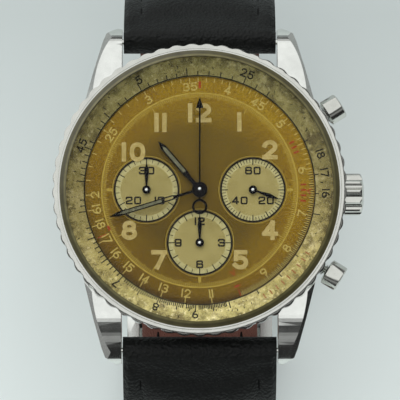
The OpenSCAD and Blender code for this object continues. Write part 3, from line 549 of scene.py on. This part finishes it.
def loop(cx, cy, rx, ry, power=1.0):
    """A closed rounded loop; a lower power makes it squarer."""
    spots = []
    for i in range(LOOP_STEPS):
        a = 2 * math.pi * i / LOOP_STEPS
        c, s = math.cos(a), math.sin(a)
        spots.append((cx + rx * math.copysign(abs(c) ** power, c),
                      cy + ry * math.copysign(abs(s) ** power, s)))
    return spots


# Each digit is a list of (path, closed), in a box from -1 to 1 both ways
ROUND = {
    "0": [(loop(0, 0, 1, 1, 0.85), True)],
    "1": [([(0, 1), (0, -1)], False)],
    "2": [(arc(0, 0.4, 0.95, 0.6, 165, -30) + [(-0.85, -0.95)], False),
          ([(-1, -1), (1, -1)], False)],
    "3": [(arc(-0.1, 0.5, 0.95, 0.5, 140, -90), False),
          (arc(-0.1, -0.48, 1.1, 0.52, 90, -145), False)],
    "4": [([(0.4, 1), (-1, -0.42)], False), ([(-1, -0.48), (1, -0.48)], False),
          ([(0.42, 1), (0.42, -1)], False)],
    "5": [([(-0.75, 1), (0.85, 1)], False), ([(-0.75, 1), (-0.8, 0.1)], False),
          (arc(-0.05, -0.35, 1.05, 0.65, 130, -150), False)],
    "6": [(loop(0, -0.42, 1, 0.58), True), (arc(0.4, -0.42, 1.4, 1.42, 180, 105), False)],
    "7": [([(-1, 1), (1, 1)], False), ([(0.9, 0.9), (-0.3, -1)], False)],
    "8": [(loop(0, 0.52, 0.82, 0.48), True), (loop(0, -0.46, 1, 0.54), True)],
    "9": [(loop(0, 0.42, 1, 0.58), True), (arc(-0.4, 0.42, 1.4, 1.42, 0, -75), False)],
}
SQUARE = {
    "0": [(filleted([(1, 1), (-1, 1), (-1, -1), (1, -1)], 0.4, True), True)],
    "1": [([(0, 1), (0, -1)], False)],
    "2": [(filleted([(-1, 0.6), (-1, 1), (1, 1), (1, 0.1), (-1, -0.35), (-1, -1), (1, -1)],
                    0.35), False)],
    "3": [(filleted([(-1, 0.6), (-1, 1), (1, 1), (1, 0.02), (-0.4, 0.02)], 0.35), False),
          (filleted([(0.2, 0.02), (1, 0.02), (1, -1), (-1, -1), (-1, -0.6)], 0.35), False)],
    "4": [([(0.3, 1), (-1, -0.4)], False), ([(-1, -0.45), (1, -0.45)], False),
          ([(0.45, 1), (0.45, -1)], False)],
    "6": [(filleted([(0.9, 0.6), (0.9, 1), (-1, 1), (-1, -1), (1, -1), (1, 0.08), (-0.9, 0.08)],
                    0.35), False)],
    "9": [(filleted([(-0.9, -0.6), (-0.9, -1), (1, -1), (1, 1), (-1, 1), (-1, -0.08),
                     (0.9, -0.08)], 0.35), False)],
}
DIGITS = {"round": ROUND, "square": SQUARE}


# ---- dial ----

DIAL_TOP = top("dial")
SUB_TOP = top("sub_dials")
SUB_CENTRES = {name: joint_at(joint)[:2] for name, joint in (
    ("seconds", "fourth_wheel_turn"), ("minutes", "minute_counter_turn"),
    ("hours", "hour_counter_turn"))}
SUB_R = 4.65  # the minute track stops this near to a sub-dial's centre


def on_dial(x, y):
    return DIAL_TOP


def clear_of_subs(x, y):
    return all(math.hypot(x - cx, y - cy) > SUB_R for cx, cy in SUB_CENTRES.values())


NUMERAL_R = 11.45
NEARER_NUMERALS = {10: 10.8, 12: 11.0, 11: 11.1, 1: 11.2}  # these stand further in
NUMERAL_SIZE = {"high": 2.75, "wide": 2.2, "stroke": 0.62, "gap": 0.5}
numerals = Ink(on_dial, 0.03)
for hour in (12, 1, 2, 4, 5, 7, 8, 10, 11):
    reach = NEARER_NUMERALS.get(hour, NUMERAL_R)
    numerals.write(str(hour), polar(reach, hour * 30), 0, **NUMERAL_SIZE)
numerals.done("hour_numerals", NUMERAL_TAN, "watch")

TRACK_R = 13.82
MARK_OUT, MARK_IN, MINUTE_IN = 13.72, 13.2, 12.95
MARK_STEP = 1.2  # degrees: a fifth of a minute
track = Ink(on_dial, 0.01)
track.ring(TRACK_R, 0.19)
for i in range(300):
    if clear_of_subs(*polar(13.3, i * MARK_STEP)):
        track.tick(i * MARK_STEP, MARK_OUT, MINUTE_IN if i % 5 == 0 else MARK_IN, 0.11)
for hour in range(12):
    if hour % 3:
        track.tick(hour * 30, 12.5, MARK_IN, 0.14)
    elif hour:
        track.tick(hour * 30, 12.35, 13.1, 0.42)
track.done("minute_track", TRACK_INK, "watch")


DIAL_TEN = 158.9  # where the fixed scale's 10 stands, clockwise from 12 o'clock
SCALE_OUT, SCALE_LABEL_R = 16.08, 14.78
SCALE_DIGIT = {"high": 1.22, "wide": 0.92, "stroke": 0.2}


def dial_angle(n):
    """Where a value of the fixed logarithmic scale stands."""
    return DIAL_TEN + 360 * math.log10(n / 10)


scale = Ink(on_dial, 0.012)
shade = Ink(on_dial, 0.011)
value = 10.0
while value < 100:
    whole = abs(value - round(value)) < 0.01
    five = abs(value / 5 - round(value / 5)) < 0.01
    long = 0.85 if five or value < 20 else (0.62 if whole else 0.42)
    scale.tick(dial_angle(value), SCALE_OUT - 0.03 - long, SCALE_OUT, 0.13 if whole else 0.09)
    if value > 60:
        shade.tick(dial_angle(value) + 0.5, SCALE_OUT - long, SCALE_OUT, 0.09)
    value += 1.0 if value < 60 else 0.5
for number in (*range(11, 21), 25, 30, 35, 40, 45, 50, 60, 70, 80, 90):
    angle = dial_angle(number) % 360
    turn = angle + 180 if 95 < angle < 265 else angle  # the lower labels read from below
    scale.write(str(number).rstrip("0"), polar(SCALE_LABEL_R, angle), turn, **SCALE_DIGIT)
scale.done("fixed_scale", SCALE_INK, "watch")
shade.done("fixed_scale_shadow", BLACK_INK, "watch")

# plain red strokes where the photograph has red words
red = Ink(on_dial, 0.014)
red.tick(0, 14.5, 15.5, 0.34)
red.tick(244.5, 14.6, 15.9, 0.12)
red.strip([polar(13.9, 245.6), polar(13.9, 248.4)], 0.34)
red.tick(DIAL_TEN, 15.0, 16.05, 0.13)
red.strip([polar(14.6, 157.4), polar(14.6, 160.4)], 0.3)
red.strip([polar(12.2, 157.0), polar(13.0, 158.0), polar(12.3, 160.0)], 0.16)
red.strip([polar(15.6, 92.0), polar(15.2, 90.4), polar(15.8, 89.4)], 0.14)
for angle in (62.5, 65.5, 68.5, 87.0, 90.0, 93.0, 96.0):
    red.tick(angle, 14.25, 15.05, 0.26)
red.done("red_scale_marks", RED_INK, "watch")


def on_sub(x, y):
    return SUB_TOP


SUB_RIM_R, SUB_OUTLINE_R, SUB_TRACK_R = 4.5, 4.8, 4.02
SUB_MARK_OUT, SUB_MARK_IN, SUB_MAIN_IN = 4.4, 3.85, 3.55
SUB_MARKS = {"seconds": (60, 5), "minutes": (30, 5), "hours": (24, 2)}  # marks, a main one every
SUB_DIGIT = {"high": 1.12, "wide": 1.0, "stroke": 0.23, "style": "square", "gap": 0.2}
SUB_LABELS = {"seconds": (("60", 0), ("20", 120), ("40", 240)),
              "minutes": (("30", 0), ("10", 120), ("20", 240)),
              "hours": (("12", 0), ("3", 90), ("6", 180), ("9", 270))}
sub_print = Ink(on_sub, 0.012)
sub_rims = Ink(on_sub, 0.09)
sub_track = Ink(on_sub, 0.006)
sub_halo = Ink(on_dial, 0.012)
for name, about in SUB_CENTRES.items():
    sub_rims.ring(SUB_RIM_R, 0.23, about, 120)
    sub_halo.ring(SUB_OUTLINE_R, 0.08, about, 120)
    sub_track.ring(SUB_TRACK_R, 0.7, about, 120)
    marks, group = SUB_MARKS[name]
    for i in range(marks):
        start, width = (SUB_MARK_IN, 0.09) if i % group else (SUB_MAIN_IN, 0.14)
        sub_print.tick(i * 360 / marks, start, SUB_MARK_OUT, width, about)
for name, labels in SUB_LABELS.items():
    for text, angle in labels:
        if name == "hours":
            x, y = polar(3.05, angle)
        elif angle == 0:
            x, y = 0.0, 2.75
        else:
            x, y = math.copysign(1.85, 180 - angle), -1.5
        cx, cy = SUB_CENTRES[name]
        sub_print.write(text, (cx + x, cy + y), 0, **SUB_DIGIT)
sub_print.done("sub_dial_print", BLACK_INK, "watch")
sub_rims.done("sub_dial_rims", BLACK_INK, "watch")
sub_track.done("sub_dial_tracks", WHITE_TRACK, "watch")
sub_halo.done("sub_dial_outlines", TRACK_INK, "watch")

# ---- slide rule print on the sloping ring ----

FLANGE_IN, FLANGE_OUT = 16.2, 18.8
FLANGE_LOW, FLANGE_HIGH = 8.68, 9.78


def on_flange(x, y):
    part = (math.hypot(x, y) - FLANGE_IN) / (FLANGE_OUT - FLANGE_IN)
    return FLANGE_LOW + (FLANGE_HIGH - FLANGE_LOW) * min(max(part, 0), 1)


RING_SEVEN = 221.3  # where the turning scale's 7 stands, clockwise from 12 o'clock
RULE_IN, RULE_LABEL_R = 16.3, 17.75
RULE_DIGIT = {"high": 1.15, "wide": 0.88, "stroke": 0.2}
RULE_LABELS = {"9": 9.0, "8": 8.0, "7": 7.0, "45": 4.5, "5": 3.47, "25": 2.5, "18": 1.8,
               "17": 1.7, "16": 1.6}
SCRATCHES = 46
RED_MARKS, RED_FROM, RED_STEP = 9, 121, 3.5  # the faded red marks: how many, and degrees


def ring_angle(n):
    """Where a value of the turning logarithmic scale stands."""
    return RING_SEVEN - 360 * math.log10(n / 7)


# The marks are worn: some are missing and their lengths vary
luck = random.Random(7)
rule = Ink(on_flange, 0.012)
value = 1.0
while value < 10:
    angle = ring_angle(value) % 360
    main = abs(value * 2 - round(value * 2)) < 0.01
    kept = 0.97 if 160 < angle < 232 else (0.45 if angle < 160 else 0.75)
    for part in (0, 0.05) if 7 < value < 9.9 else (0,):
        if luck.random() < kept:
            length = 1.05 if main and part == 0 else luck.uniform(0.5, 0.75)
            rule.tick(ring_angle(value + part), RULE_IN, RULE_IN + length, 0.15)
    value = round(value + 0.1, 3)
for label, number in RULE_LABELS.items():
    angle = ring_angle(number) % 360
    rule.write(label, polar(RULE_LABEL_R, angle), angle, **RULE_DIGIT)
for i in range(SCRATCHES):
    angle, r = luck.uniform(0, 360), luck.uniform(16.9, 18.2)
    turn = luck.uniform(-40, 40)
    length = luck.uniform(0.12, 0.5)
    a = polar(r, angle)
    d = polar(length, angle + turn)
    rule.strip([a, (a[0] + d[0], a[1] + d[1])], luck.uniform(0.06, 0.13))
rule.done("slide_rule_print", WORN_INK, "bezel")

faded = Ink(on_flange, 0.01)
for i in range(RED_MARKS):
    faded.tick(RED_FROM + RED_STEP * i, 17.25, 18.0, 0.2)
faded.done("faded_red_marks", FADED_RED, "bezel")

border = Ink(on_flange, 0.014)
border.ring(16.28, 0.15)
border.done("slide_rule_border", BLACK_INK, "bezel")

# ---- hands ----

HOUR_TURN, MINUTE_TURN = 319.4, 252.8  # as the photograph's hands stand
LUME_SINK, LUME_RISE = 0.05, 0.015


def hand_inlay(hand, turn, outline):
    """Luminous paint laid in a hand, as a thin closed prism."""
    cx, cy, _ = joint_at(f"{hand}_turn")
    z = top(hand)
    c, s = math.cos(math.radians(turn)), math.sin(math.radians(turn))
    spots = [(cx + x * c + y * s, cy - x * s + y * c) for x, y in outline]
    verts = [(x, y, z + h) for h in (-LUME_SINK, LUME_RISE) for x, y in spots]
    faces = skin(2, len(spots)) + caps(2, len(spots))
    piece(f"{hand}_lume", verts, faces, LUME, hand, smooth=0)


hand_inlay("hour_hand", HOUR_TURN,
           [(-0.24, 3.3), (0.24, 3.3), (0.24, 7.5), (0.0, 8.1), (-0.24, 7.5)])
hand_inlay("minute_hand", MINUTE_TURN,
           [(-0.19, 5.6), (0.19, 5.6), (0.19, 11.2), (0.0, 11.9), (-0.19, 11.2)])

# small steel pins at the hubs: (radius, height above the hand) up their side
PIN_SIDE = ((0.22, -0.03), (0.22, 0.02), (0.16, 0.06), (0.06, 0.075))
PIN_SIDES = 20
for name, body, hand in (("seconds_pin", "fourth_wheel", "small_seconds_hand"),
                         ("minute_counter_pin", "minute_counter", "minute_counter_hand"),
                         ("hour_counter_pin", "hour_counter", "hour_counter_hand"),
                         ("centre_pin", "chronograph_hand", "chronograph_hand")):
    cx, cy, _ = joint_at(f"{body}_turn")
    verts = []
    for r, h in PIN_SIDE:
        for k in range(PIN_SIDES):
            a = 2 * math.pi * k / PIN_SIDES
            verts.append((cx + r * math.cos(a), cy + r * math.sin(a), top(hand) + h))
    faces = skin(len(PIN_SIDE), PIN_SIDES) + caps(len(PIN_SIDE), PIN_SIDES)
    piece(name, verts, faces, CASE_STEEL, body)

# ---- pusher springs ----

COIL_R, WIRE_R, COIL_TURNS = 0.8, 0.11, 5
TURN_STEPS, WIRE_SIDES = 20, 8
SEAT, COIL_LENGTH, PUSH_TRAVEL = 18.28, 2.62, 0.8  # SEAT is measured from the dial's axis
PUSHER_LEAN = 32  # degrees of each pusher from the crown's direction


def pusher_spring(which, side):
    """A coil along the pusher's axis."""
    node = f"{which}_pusher_spring"
    z = (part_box(node)[0][2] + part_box(node)[1][2]) / 2 / MM
    lean = math.radians(PUSHER_LEAN * side)
    along = Vector((math.cos(lean), math.sin(lean), 0))
    across = Vector((-math.sin(lean), math.cos(lean), 0))
    up = Vector((0, 0, 1))
    steps = COIL_TURNS * TURN_STEPS
    verts = []
    for i in range(steps + 1):
        turn = 2 * math.pi * COIL_TURNS * i / steps
        out = across * math.cos(turn) + up * math.sin(turn)
        middle = along * (SEAT + COIL_LENGTH * i / steps) + out * COIL_R + up * z
        for k in range(WIRE_SIDES):
            a = 2 * math.pi * k / WIRE_SIDES
            verts.append(tuple(middle + (out * math.cos(a) + along * math.sin(a)) * WIRE_R))
    faces = skin(steps + 1, WIRE_SIDES) + caps(steps + 1, WIRE_SIDES)
    thing = piece(f"{which}_pusher_coil", verts, faces, MOVEMENT_STEEL, "watch",
                  smooth=60)
    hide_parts(node)
    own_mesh(thing)


pusher_spring("start", 1)
pusher_spring("reset", -1)

# ---- strap ----

BAR_R = 0.75
BAR_Y, BAR_Z = (c / MM - BAR_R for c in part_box("lug_bar_12")[1][1:])
# The middle line of each half as (y, z) from its lug bar to its end, as in the CAD
SHORT = [(BAR_Y + 0.1, BAR_Z - 0.1), (26.9, -1.2), (30.6, -8.4), (31.9, -17), (30.7, -26),
         (26.4, -35), (19.8, -41.4), (12.5, -43.7), (5, -43.95), (-4, -43.95)]
LONG = [(-BAR_Y - 0.1, BAR_Z - 0.1), (-26.9, -1.2), (-30.8, -8.4), (-32.4, -17), (-31.6, -26),
        (-27.6, -35), (-21.6, -41.6), (-16.0, -44.7), (-9.5, -46.2), (-4.2, -46.85), (5, -46.9),
        (13.6, -46.6), (21.8, -43.9), (28.9, -37.2), (33.0, -28.4)]
LUG_WIDTH, TAIL_WIDTH = 21.8, 18.0
NARROW_FROM, NARROW_OVER = -6.0, 30.0  # the heights over which the strap narrows
WRAP_R = 2.05                          # radius of the leather round a lug bar
SHORT_WRAP = 1.4                       # the 12 o'clock half's is flatter
EDGE_IN = 2.5                          # from the strap's edge to its stitches
ARCH = 2.4                             # the padding starts this much further on in the middle
PAD_START = (1.6, 4.6)                 # the padding rises from the first to the second
GROOVE_DEPTH, GROOVE_WIDTH = 0.42, 0.36  # where the stitches pull the leather down
DIP_DEPTH, DIP_AT, DIP_WIDTH = 0.3, 1.2, 0.9  # just before the padding
EDGE_ROUND = 0.55


SPAN_STEPS = 10  # points of the smoothed line from one given point to the next


def smooth_line(points):
    """A Catmull-Rom curve through the points, as in the CAD."""
    out = []
    for i in range(len(points) - 1):
        a, b, c, d = (Vector(points[min(max(i + k, 0), len(points) - 1)]) for k in (-1, 0, 1, 2))
        for k in range(SPAN_STEPS):
            t = k / SPAN_STEPS
            out.append(0.5 * (2 * b + (c - a) * t + (2 * a - 5 * b + 4 * c - d) * t ** 2
                              + (3 * b - a - 3 * c + d) * t ** 3))
    return out + [Vector(points[-1])]


def strap_width(z):
    """Width of the strap at that height: it narrows from the lugs to the buckle."""
    part = min(max((NARROW_FROM - z) / NARROW_OVER, 0), 1)
    return LUG_WIDTH + (TAIL_WIDTH - LUG_WIDTH) * part


def ease(x, a, b):
    """0 below a, 1 above b, smooth between."""
    t = min(max((x - a) / (b - a), 0), 1)
    return t * t * (3 - 2 * t)


class StrapHalf:
    """One half of the strap, by the distance s from its lug bar along its middle line."""

    def __init__(self, points, out, thick, wrap):
        """thick is half the thickness at each end; wrap is how far it reaches past the bar."""
        self.wrap = wrap
        self.line = smooth_line(points)
        self.out = out
        self.thick = thick
        self.far = [0.0]
        for a, b in zip(self.line, self.line[1:]):
            self.far.append(self.far[-1] + (b - a).length)
        self.length = self.far[-1]

    def place(self, s):
        """The middle line's point at a distance s and the way out from there, as (y, z)."""
        clamped = min(max(s, 0), self.length)
        i = max(k for k in range(len(self.far) - 1) if self.far[k] <= clamped + 1e-9)
        span = self.far[i + 1] - self.far[i]
        t = (clamped - self.far[i]) / span

        def heading(k):
            k = min(max(k, 1), len(self.line) - 2)
            return (self.line[k + 1] - self.line[k - 1]).normalized()

        along = heading(i).lerp(heading(i + 1), t).normalized()
        spot = self.line[i].lerp(self.line[i + 1], t) + along * (s - clamped)
        return spot, Vector((-along.y, along.x)) * self.out

    def half_thick(self, s):
        return self.thick[0] + (self.thick[1] - self.thick[0]) * min(max(s / self.length, 0), 1)

    def split(self, s):
        """Where outer leather meets lining, measured outwards."""
        return -0.9 + (1.0 if self.out > 0 else 0.9) * min(max(s / self.length, 0), 1)

    def surface(self, s, x, half):
        """How far the padded outer face stands out at x across."""
        full = self.half_thick(s)
        if s < 0:
            return (WRAP_R * math.sqrt(max(1 - (s / self.wrap) ** 2, 0))
                    * (1 - 0.06 * (abs(x) / half) ** 8))
        u = min(abs(x) / half, 1)
        arch = ARCH * (1 - u ** 2)
        padded = ease(s - arch, *PAD_START) * (1 - ease(s, self.length - 7, self.length - 3))
        edge = full - 0.35 - 0.35 * padded
        seam = half - EDGE_IN
        rise = (1 - min(abs(x) / seam, 1) ** 2.6) ** 0.75 if abs(x) < seam else 0
        height = edge + padded * (0.5 + 0.75 * rise) * ease(rise, -1, 0.02) + (1 - padded) * 0.35
        sewn = ease(s, 2.6, 3.6) * (1 - ease(s, self.length - 5, self.length - 3))
        groove = GROOVE_DEPTH * math.exp(-((abs(x) - seam) / GROOVE_WIDTH) ** 2) * sewn
        dip = DIP_DEPTH * math.exp(-((s - arch - DIP_AT) / DIP_WIDTH) ** 2)
        rounding = EDGE_ROUND * ease(u, 0.9, 1.0) ** 2
        return height - groove - dip - rounding


def tip_scale(half, s, tip):
    """Rounds the end of the strap's tail."""
    if not tip or s < half.length - tip:
        return 1.0
    t = (s - (half.length - tip)) / tip
    return max(math.sqrt(max(1 - t ** 2.4, 0)), 0.05)


ACROSS = 44     # quads across the strap
STATION = 0.85  # from one row of points to the next
GATHER = 0.35   # how much the outer face's points gather towards its edges


def strap_mesh(name, half, inner, outer, start, end, tip, material, node):
    """A closed band swept along a strap half, from inner(s, x, w) to outer(s, x, w)."""
    stations = []
    if start < 0:
        stations += [start * math.cos(math.radians(a)) for a in range(4, 90, 10)]
    s = max(start, 0.0)
    while s < end:
        stations.append(s)
        s += STATION
    if tip:
        stations = [q for q in stations if q < end - tip]
        stations += [end - tip + tip * math.sin(math.radians(a)) for a in range(0, 88, 6)]
    else:
        stations.append(end)
    verts = []
    for s in stations:
        spot, out = half.place(s)
        wide = strap_width(spot.y) / 2 * tip_scale(half, s, tip)
        ring = []
        for k in range(ACROSS + 1):
            x = -math.cos(math.pi * k / ACROSS) * wide
            x = GATHER * x + (1 - GATHER) * (-1 + 2 * k / ACROSS) * wide
            ring.append((x, outer(s, x, wide)))
        for k in range(ACROSS + 1):
            x = (1 - 2 * k / ACROSS) * wide
            ring.append((x, inner(s, x, wide)))
        for x, d in ring:
            p = spot + out * d
            verts.append((x, p.x, p.y))
    size = 2 * (ACROSS + 1)
    faces = skin(len(stations), size)
    for base in (0, (len(stations) - 1) * size):
        for k in range(ACROSS):
            a, b = base + k, base + size - 1 - k
            faces.append((a, a + 1, b - 1, b))
    thing = piece(name, verts, faces, material, "watch", smooth=50)
    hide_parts(node)
    return thing


def cut(thing, low, high):
    """Takes the block between two corners out of a piece."""
    verts = [(x, y, z) for x in (low[0], high[0]) for y in (low[1], high[1])
             for z in (low[2], high[2])]
    faces = ((0, 1, 3, 2), (4, 6, 7, 5), (0, 4, 5, 1), (2, 3, 7, 6), (0, 2, 6, 4), (1, 5, 7, 3))
    tool = bpy.data.objects.new("cutter", mesh_of("cutter", verts, faces))
    SCENE.collection.objects.link(tool)
    change = thing.modifiers.new("cut", "BOOLEAN")
    change.operation = "DIFFERENCE"
    change.object = tool
    change.solver = "EXACT"
    graph = bpy.context.evaluated_depsgraph_get()
    result = bpy.data.meshes.new_from_object(thing.evaluated_get(graph))
    thing.modifiers.clear()
    old = thing.data
    thing.data = result
    bpy.data.meshes.remove(old)
    bpy.data.objects.remove(tool)


def leather_inner(half):
    """Round the bar first, then where the leather meets the lining."""
    def inner(s, x, w):
        if s < 0:
            return -WRAP_R * math.sqrt(max(1 - (s / half.wrap) ** 2, 0))
        return -WRAP_R + (half.split(s) + WRAP_R) * ease(s, 1.6, LINING_START)
    return inner


def lining_outer(half):
    return lambda s, x, w: half.split(s) - 0.02


def lining_inner(half):
    return lambda s, x, w: -half.half_thick(s) + 0.12 + 0.3 * ease(abs(x) / w, 0.94, 1.0)


LINING_START = 2.1
TAIL_TIP = 7.0  # length of the tail's rounded end
# The slots for the prong, as low and high corners
PRONG_GAP = ((-1.5, -8.0, -47.0), (1.5, -1.6, -41.0))
PRONG_HOLE = ((-0.9, -7.5, -50.0), (0.9, -3.0, -43.8))
short = StrapHalf(SHORT, 1, (2.1, 1.2), SHORT_WRAP)
long = StrapHalf(LONG, -1, (2.1, 0.95), WRAP_R)
for label, half, tip, gap in (("12", short, 0, PRONG_GAP), ("6", long, TAIL_TIP, PRONG_HOLE)):
    outside = strap_mesh(f"strap_{label}_leather", half, leather_inner(half), half.surface,
                         -half.wrap, half.length, tip, STRAP_BLACK,
                         f"strap_{label}")
    inside = strap_mesh(f"strap_{label}_inside", half, lining_inner(half), lining_outer(half),
                        LINING_START, half.length, tip, LINING,
                        f"strap_{label}_lining")
    cut(outside, *gap)
    cut(inside, *gap)

STITCH, STITCH_PITCH, THREAD_R = 2.4, 3.1, 0.2
THREAD_SIDES, THREAD_RINGS = 6, 5


def stitches(name, half, first, last, inside):
    """A row of stitches along each edge, on the outer face or on the lining."""
    verts, faces = [], []
    for side in (-1, 1):
        s = first
        while s + STITCH < last:
            base = len(verts)
            for i in range(THREAD_RINGS):
                t = i / (THREAD_RINGS - 1)
                here = s + STITCH * t
                spot, out = half.place(here)
                wide = strap_width(spot.y) / 2
                x = side * (wide - EDGE_IN)
                swell = THREAD_R * math.sin(math.pi * (0.12 + 0.76 * t)) ** 0.6
                if inside:
                    level = -half.half_thick(here) + 0.1
                else:
                    level = half.surface(here, x, wide) + 0.02
                for k in range(THREAD_SIDES):
                    a = 2 * math.pi * k / THREAD_SIDES
                    p = spot + out * (level + swell * math.sin(a))
                    verts.append((x + swell * 1.1 * math.cos(a), p.x, p.y))
            faces += skin(THREAD_RINGS, THREAD_SIDES, base) + caps(THREAD_RINGS, THREAD_SIDES, base)
            s += STITCH_PITCH
    piece(name, verts, faces, THREAD, "watch", smooth=70)


OUTER_START, INNER_START = 3.4, 5.2
for label, half, stop in (("12", short, short.length - 8), ("6", long, long.length - 9)):
    stitches(f"strap_{label}_stitches", half, OUTER_START, stop, False)
    stitches(f"strap_{label}_inner_stitches", half, INNER_START, stop, True)


KEEPER_THICK, KEEPER_CORNER, KEEPER_STEP = 0.95, 1.5, 0.9


def keeper(name, node, body):
    """A leather loop with a slightly domed, creased band and rounded edges."""
    low, high = (tuple(c / MM for c in corner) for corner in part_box(node))
    inset = KEEPER_THICK / 2
    x0, x1, z0, z1 = low[0] + inset, high[0] - inset, low[2] + inset, high[2] - inset
    corners = [(x1, z1), (x0, z1), (x0, z0), (x1, z0)]
    path = [Vector(p) for p in filleted(corners, KEEPER_CORNER, True)]
    even = []
    for a, b in zip(path, path[1:] + path[:1]):
        count = max(1, int((b - a).length / KEEPER_STEP))
        even += [a.lerp(b, k / count) for k in range(count)]
    middle, wide = (low[1] + high[1]) / 2, (high[1] - low[1]) / 2 * 0.985
    section = []
    for k in range(13):
        t = -1 + 2 * k / 12
        crease = 0.09 * math.exp(-((abs(t) - 0.78) / 0.07) ** 2)
        section.append((t * wide, inset * (1 - abs(t) ** 8 * 0.6) - crease))
    for k in range(7):
        t = 1 - 2 * k / 6
        section.append((t * wide, -inset * (1 - abs(t) ** 8 * 0.5)))
    verts = []
    for i, p in enumerate(even):
        d = (even[(i + 1) % len(even)] - even[i - 1]).normalized()
        out = Vector((d.y, -d.x))
        for y, h in section:
            q = p + out * h
            verts.append((q.x, middle + y, q.y))
    faces = skin(len(even), len(section), closed=True)
    thing = piece(name, verts, faces, KEEPER_BLACK, body, smooth=55)
    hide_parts(node)


keeper("fixed_keeper_loop", "fixed_keeper", "watch")
keeper("free_keeper_loop", "free_keeper", "free_keeper")

# ---- stage, light and camera ----

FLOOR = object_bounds()[0][2]
FLOOR_HALF = 3.0  # metres


def floor():
    f = Finish("pale_floor_painted_light", rough=0.9)
    # painted light: the floor is painted brighter on the near side (-Y) and darker beyond the watch (+Y)
    pale = f.graded(f.along("Y"), -60.0, 60.0, (-36.0, (0.79, 0.86, 0.85)),
                    (36.0, (0.5, 0.55, 0.545)))
    cloud = f.ramp(f.noise(60, 3), (0.3, 0.0), (0.7, 0.06))
    f.paint(Base_Color=f.mix(cloud, pale, (0.6, 0.64, 0.64)))
    corners = [(x * FLOOR_HALF, y * FLOOR_HALF, FLOOR)
               for x, y in ((-1, -1), (1, -1), (1, 1), (-1, 1))]
    mesh = bpy.data.meshes.new("floor")
    mesh.from_pydata(corners, [], [(0, 1, 2, 3)])
    mesh.materials.append(f.material)
    thing = bpy.data.objects.new("floor", mesh)
    SCENE.collection.objects.link(thing)


floor()


def area(name, at, size, power):
    """A soft light aimed at the watch. Polished steel reflects the studio and not the light."""
    light = bpy.data.lights.new(name, "AREA")
    light.shape = "RECTANGLE"
    light.size, light.size_y = size
    light.energy = power
    thing = bpy.data.objects.new(name, light)
    thing.location = at
    thing.rotation_euler = (-Vector(at)).to_track_quat("-Z", "Y").to_euler()
    thing.visible_glossy = False
    SCENE.collection.objects.link(thing)


area("key", (0.0, 1.1, 0.8), (1.6, 0.6), 11.0)
area("fill", (0.0, -1.1, 0.45), (1.6, 0.4), 5.0)

UP_AND_BACK = (-0.3, 0.45, 0.84)
# brightness by how far a direction points that way: bands that polished steel reflects
STUDIO = ((0.0, 0.03), (0.12, 0.34), (0.3, 0.36), (0.36, 0.05), (0.52, 0.07), (0.6, 1.2),
          (0.85, 1.1))


def sky():
    """A plain studio: pale above and behind the watch, darker towards the horizon."""
    world = bpy.data.worlds.new("studio")
    SCENE.world = world
    world.use_nodes = True
    tree = world.node_tree
    spot = tree.nodes.new("ShaderNodeTexCoord")
    tilt = tree.nodes.new("ShaderNodeVectorMath")
    tilt.operation = "DOT_PRODUCT"
    tree.links.new(spot.outputs["Generated"], tilt.inputs[0])
    tilt.inputs[1].default_value = UP_AND_BACK
    ramp = tree.nodes.new("ShaderNodeValToRGB")
    tree.links.new(tilt.outputs["Value"], ramp.inputs["Fac"])
    for position, grey in STUDIO:
        stop = ramp.color_ramp.elements.new(position)
        stop.color = (grey * 0.98, grey, grey * 0.99, 1)
    ramp.color_ramp.elements.remove(ramp.color_ramp.elements[0])
    ramp.color_ramp.elements.remove(ramp.color_ramp.elements[-1])
    tree.links.new(ramp.outputs["Color"], tree.nodes["Background"].inputs["Color"])
    tree.nodes["Background"].inputs["Strength"].default_value = 1.0


sky()
SCENE.view_settings.view_transform = "Standard"

ELEVATION = math.radians(82.6)
DISTANCE = 450 * MM
VIEW_WIDTH = 56.2 * MM
LOOK_AT = Vector((0.04, -1.62, top("slide_rule_ring"))) * MM
camera = bpy.data.cameras.new("camera")
camera.sensor_width = 36
camera.lens = camera.sensor_width * DISTANCE / VIEW_WIDTH
eye = bpy.data.objects.new("camera", camera)
eye.location = LOOK_AT + DISTANCE * Vector((0, -math.cos(ELEVATION), math.sin(ELEVATION)))
eye.rotation_euler = (LOOK_AT - eye.location).to_track_quat("-Z", "Y").to_euler()
SCENE.collection.objects.link(eye)
SCENE.camera = eye
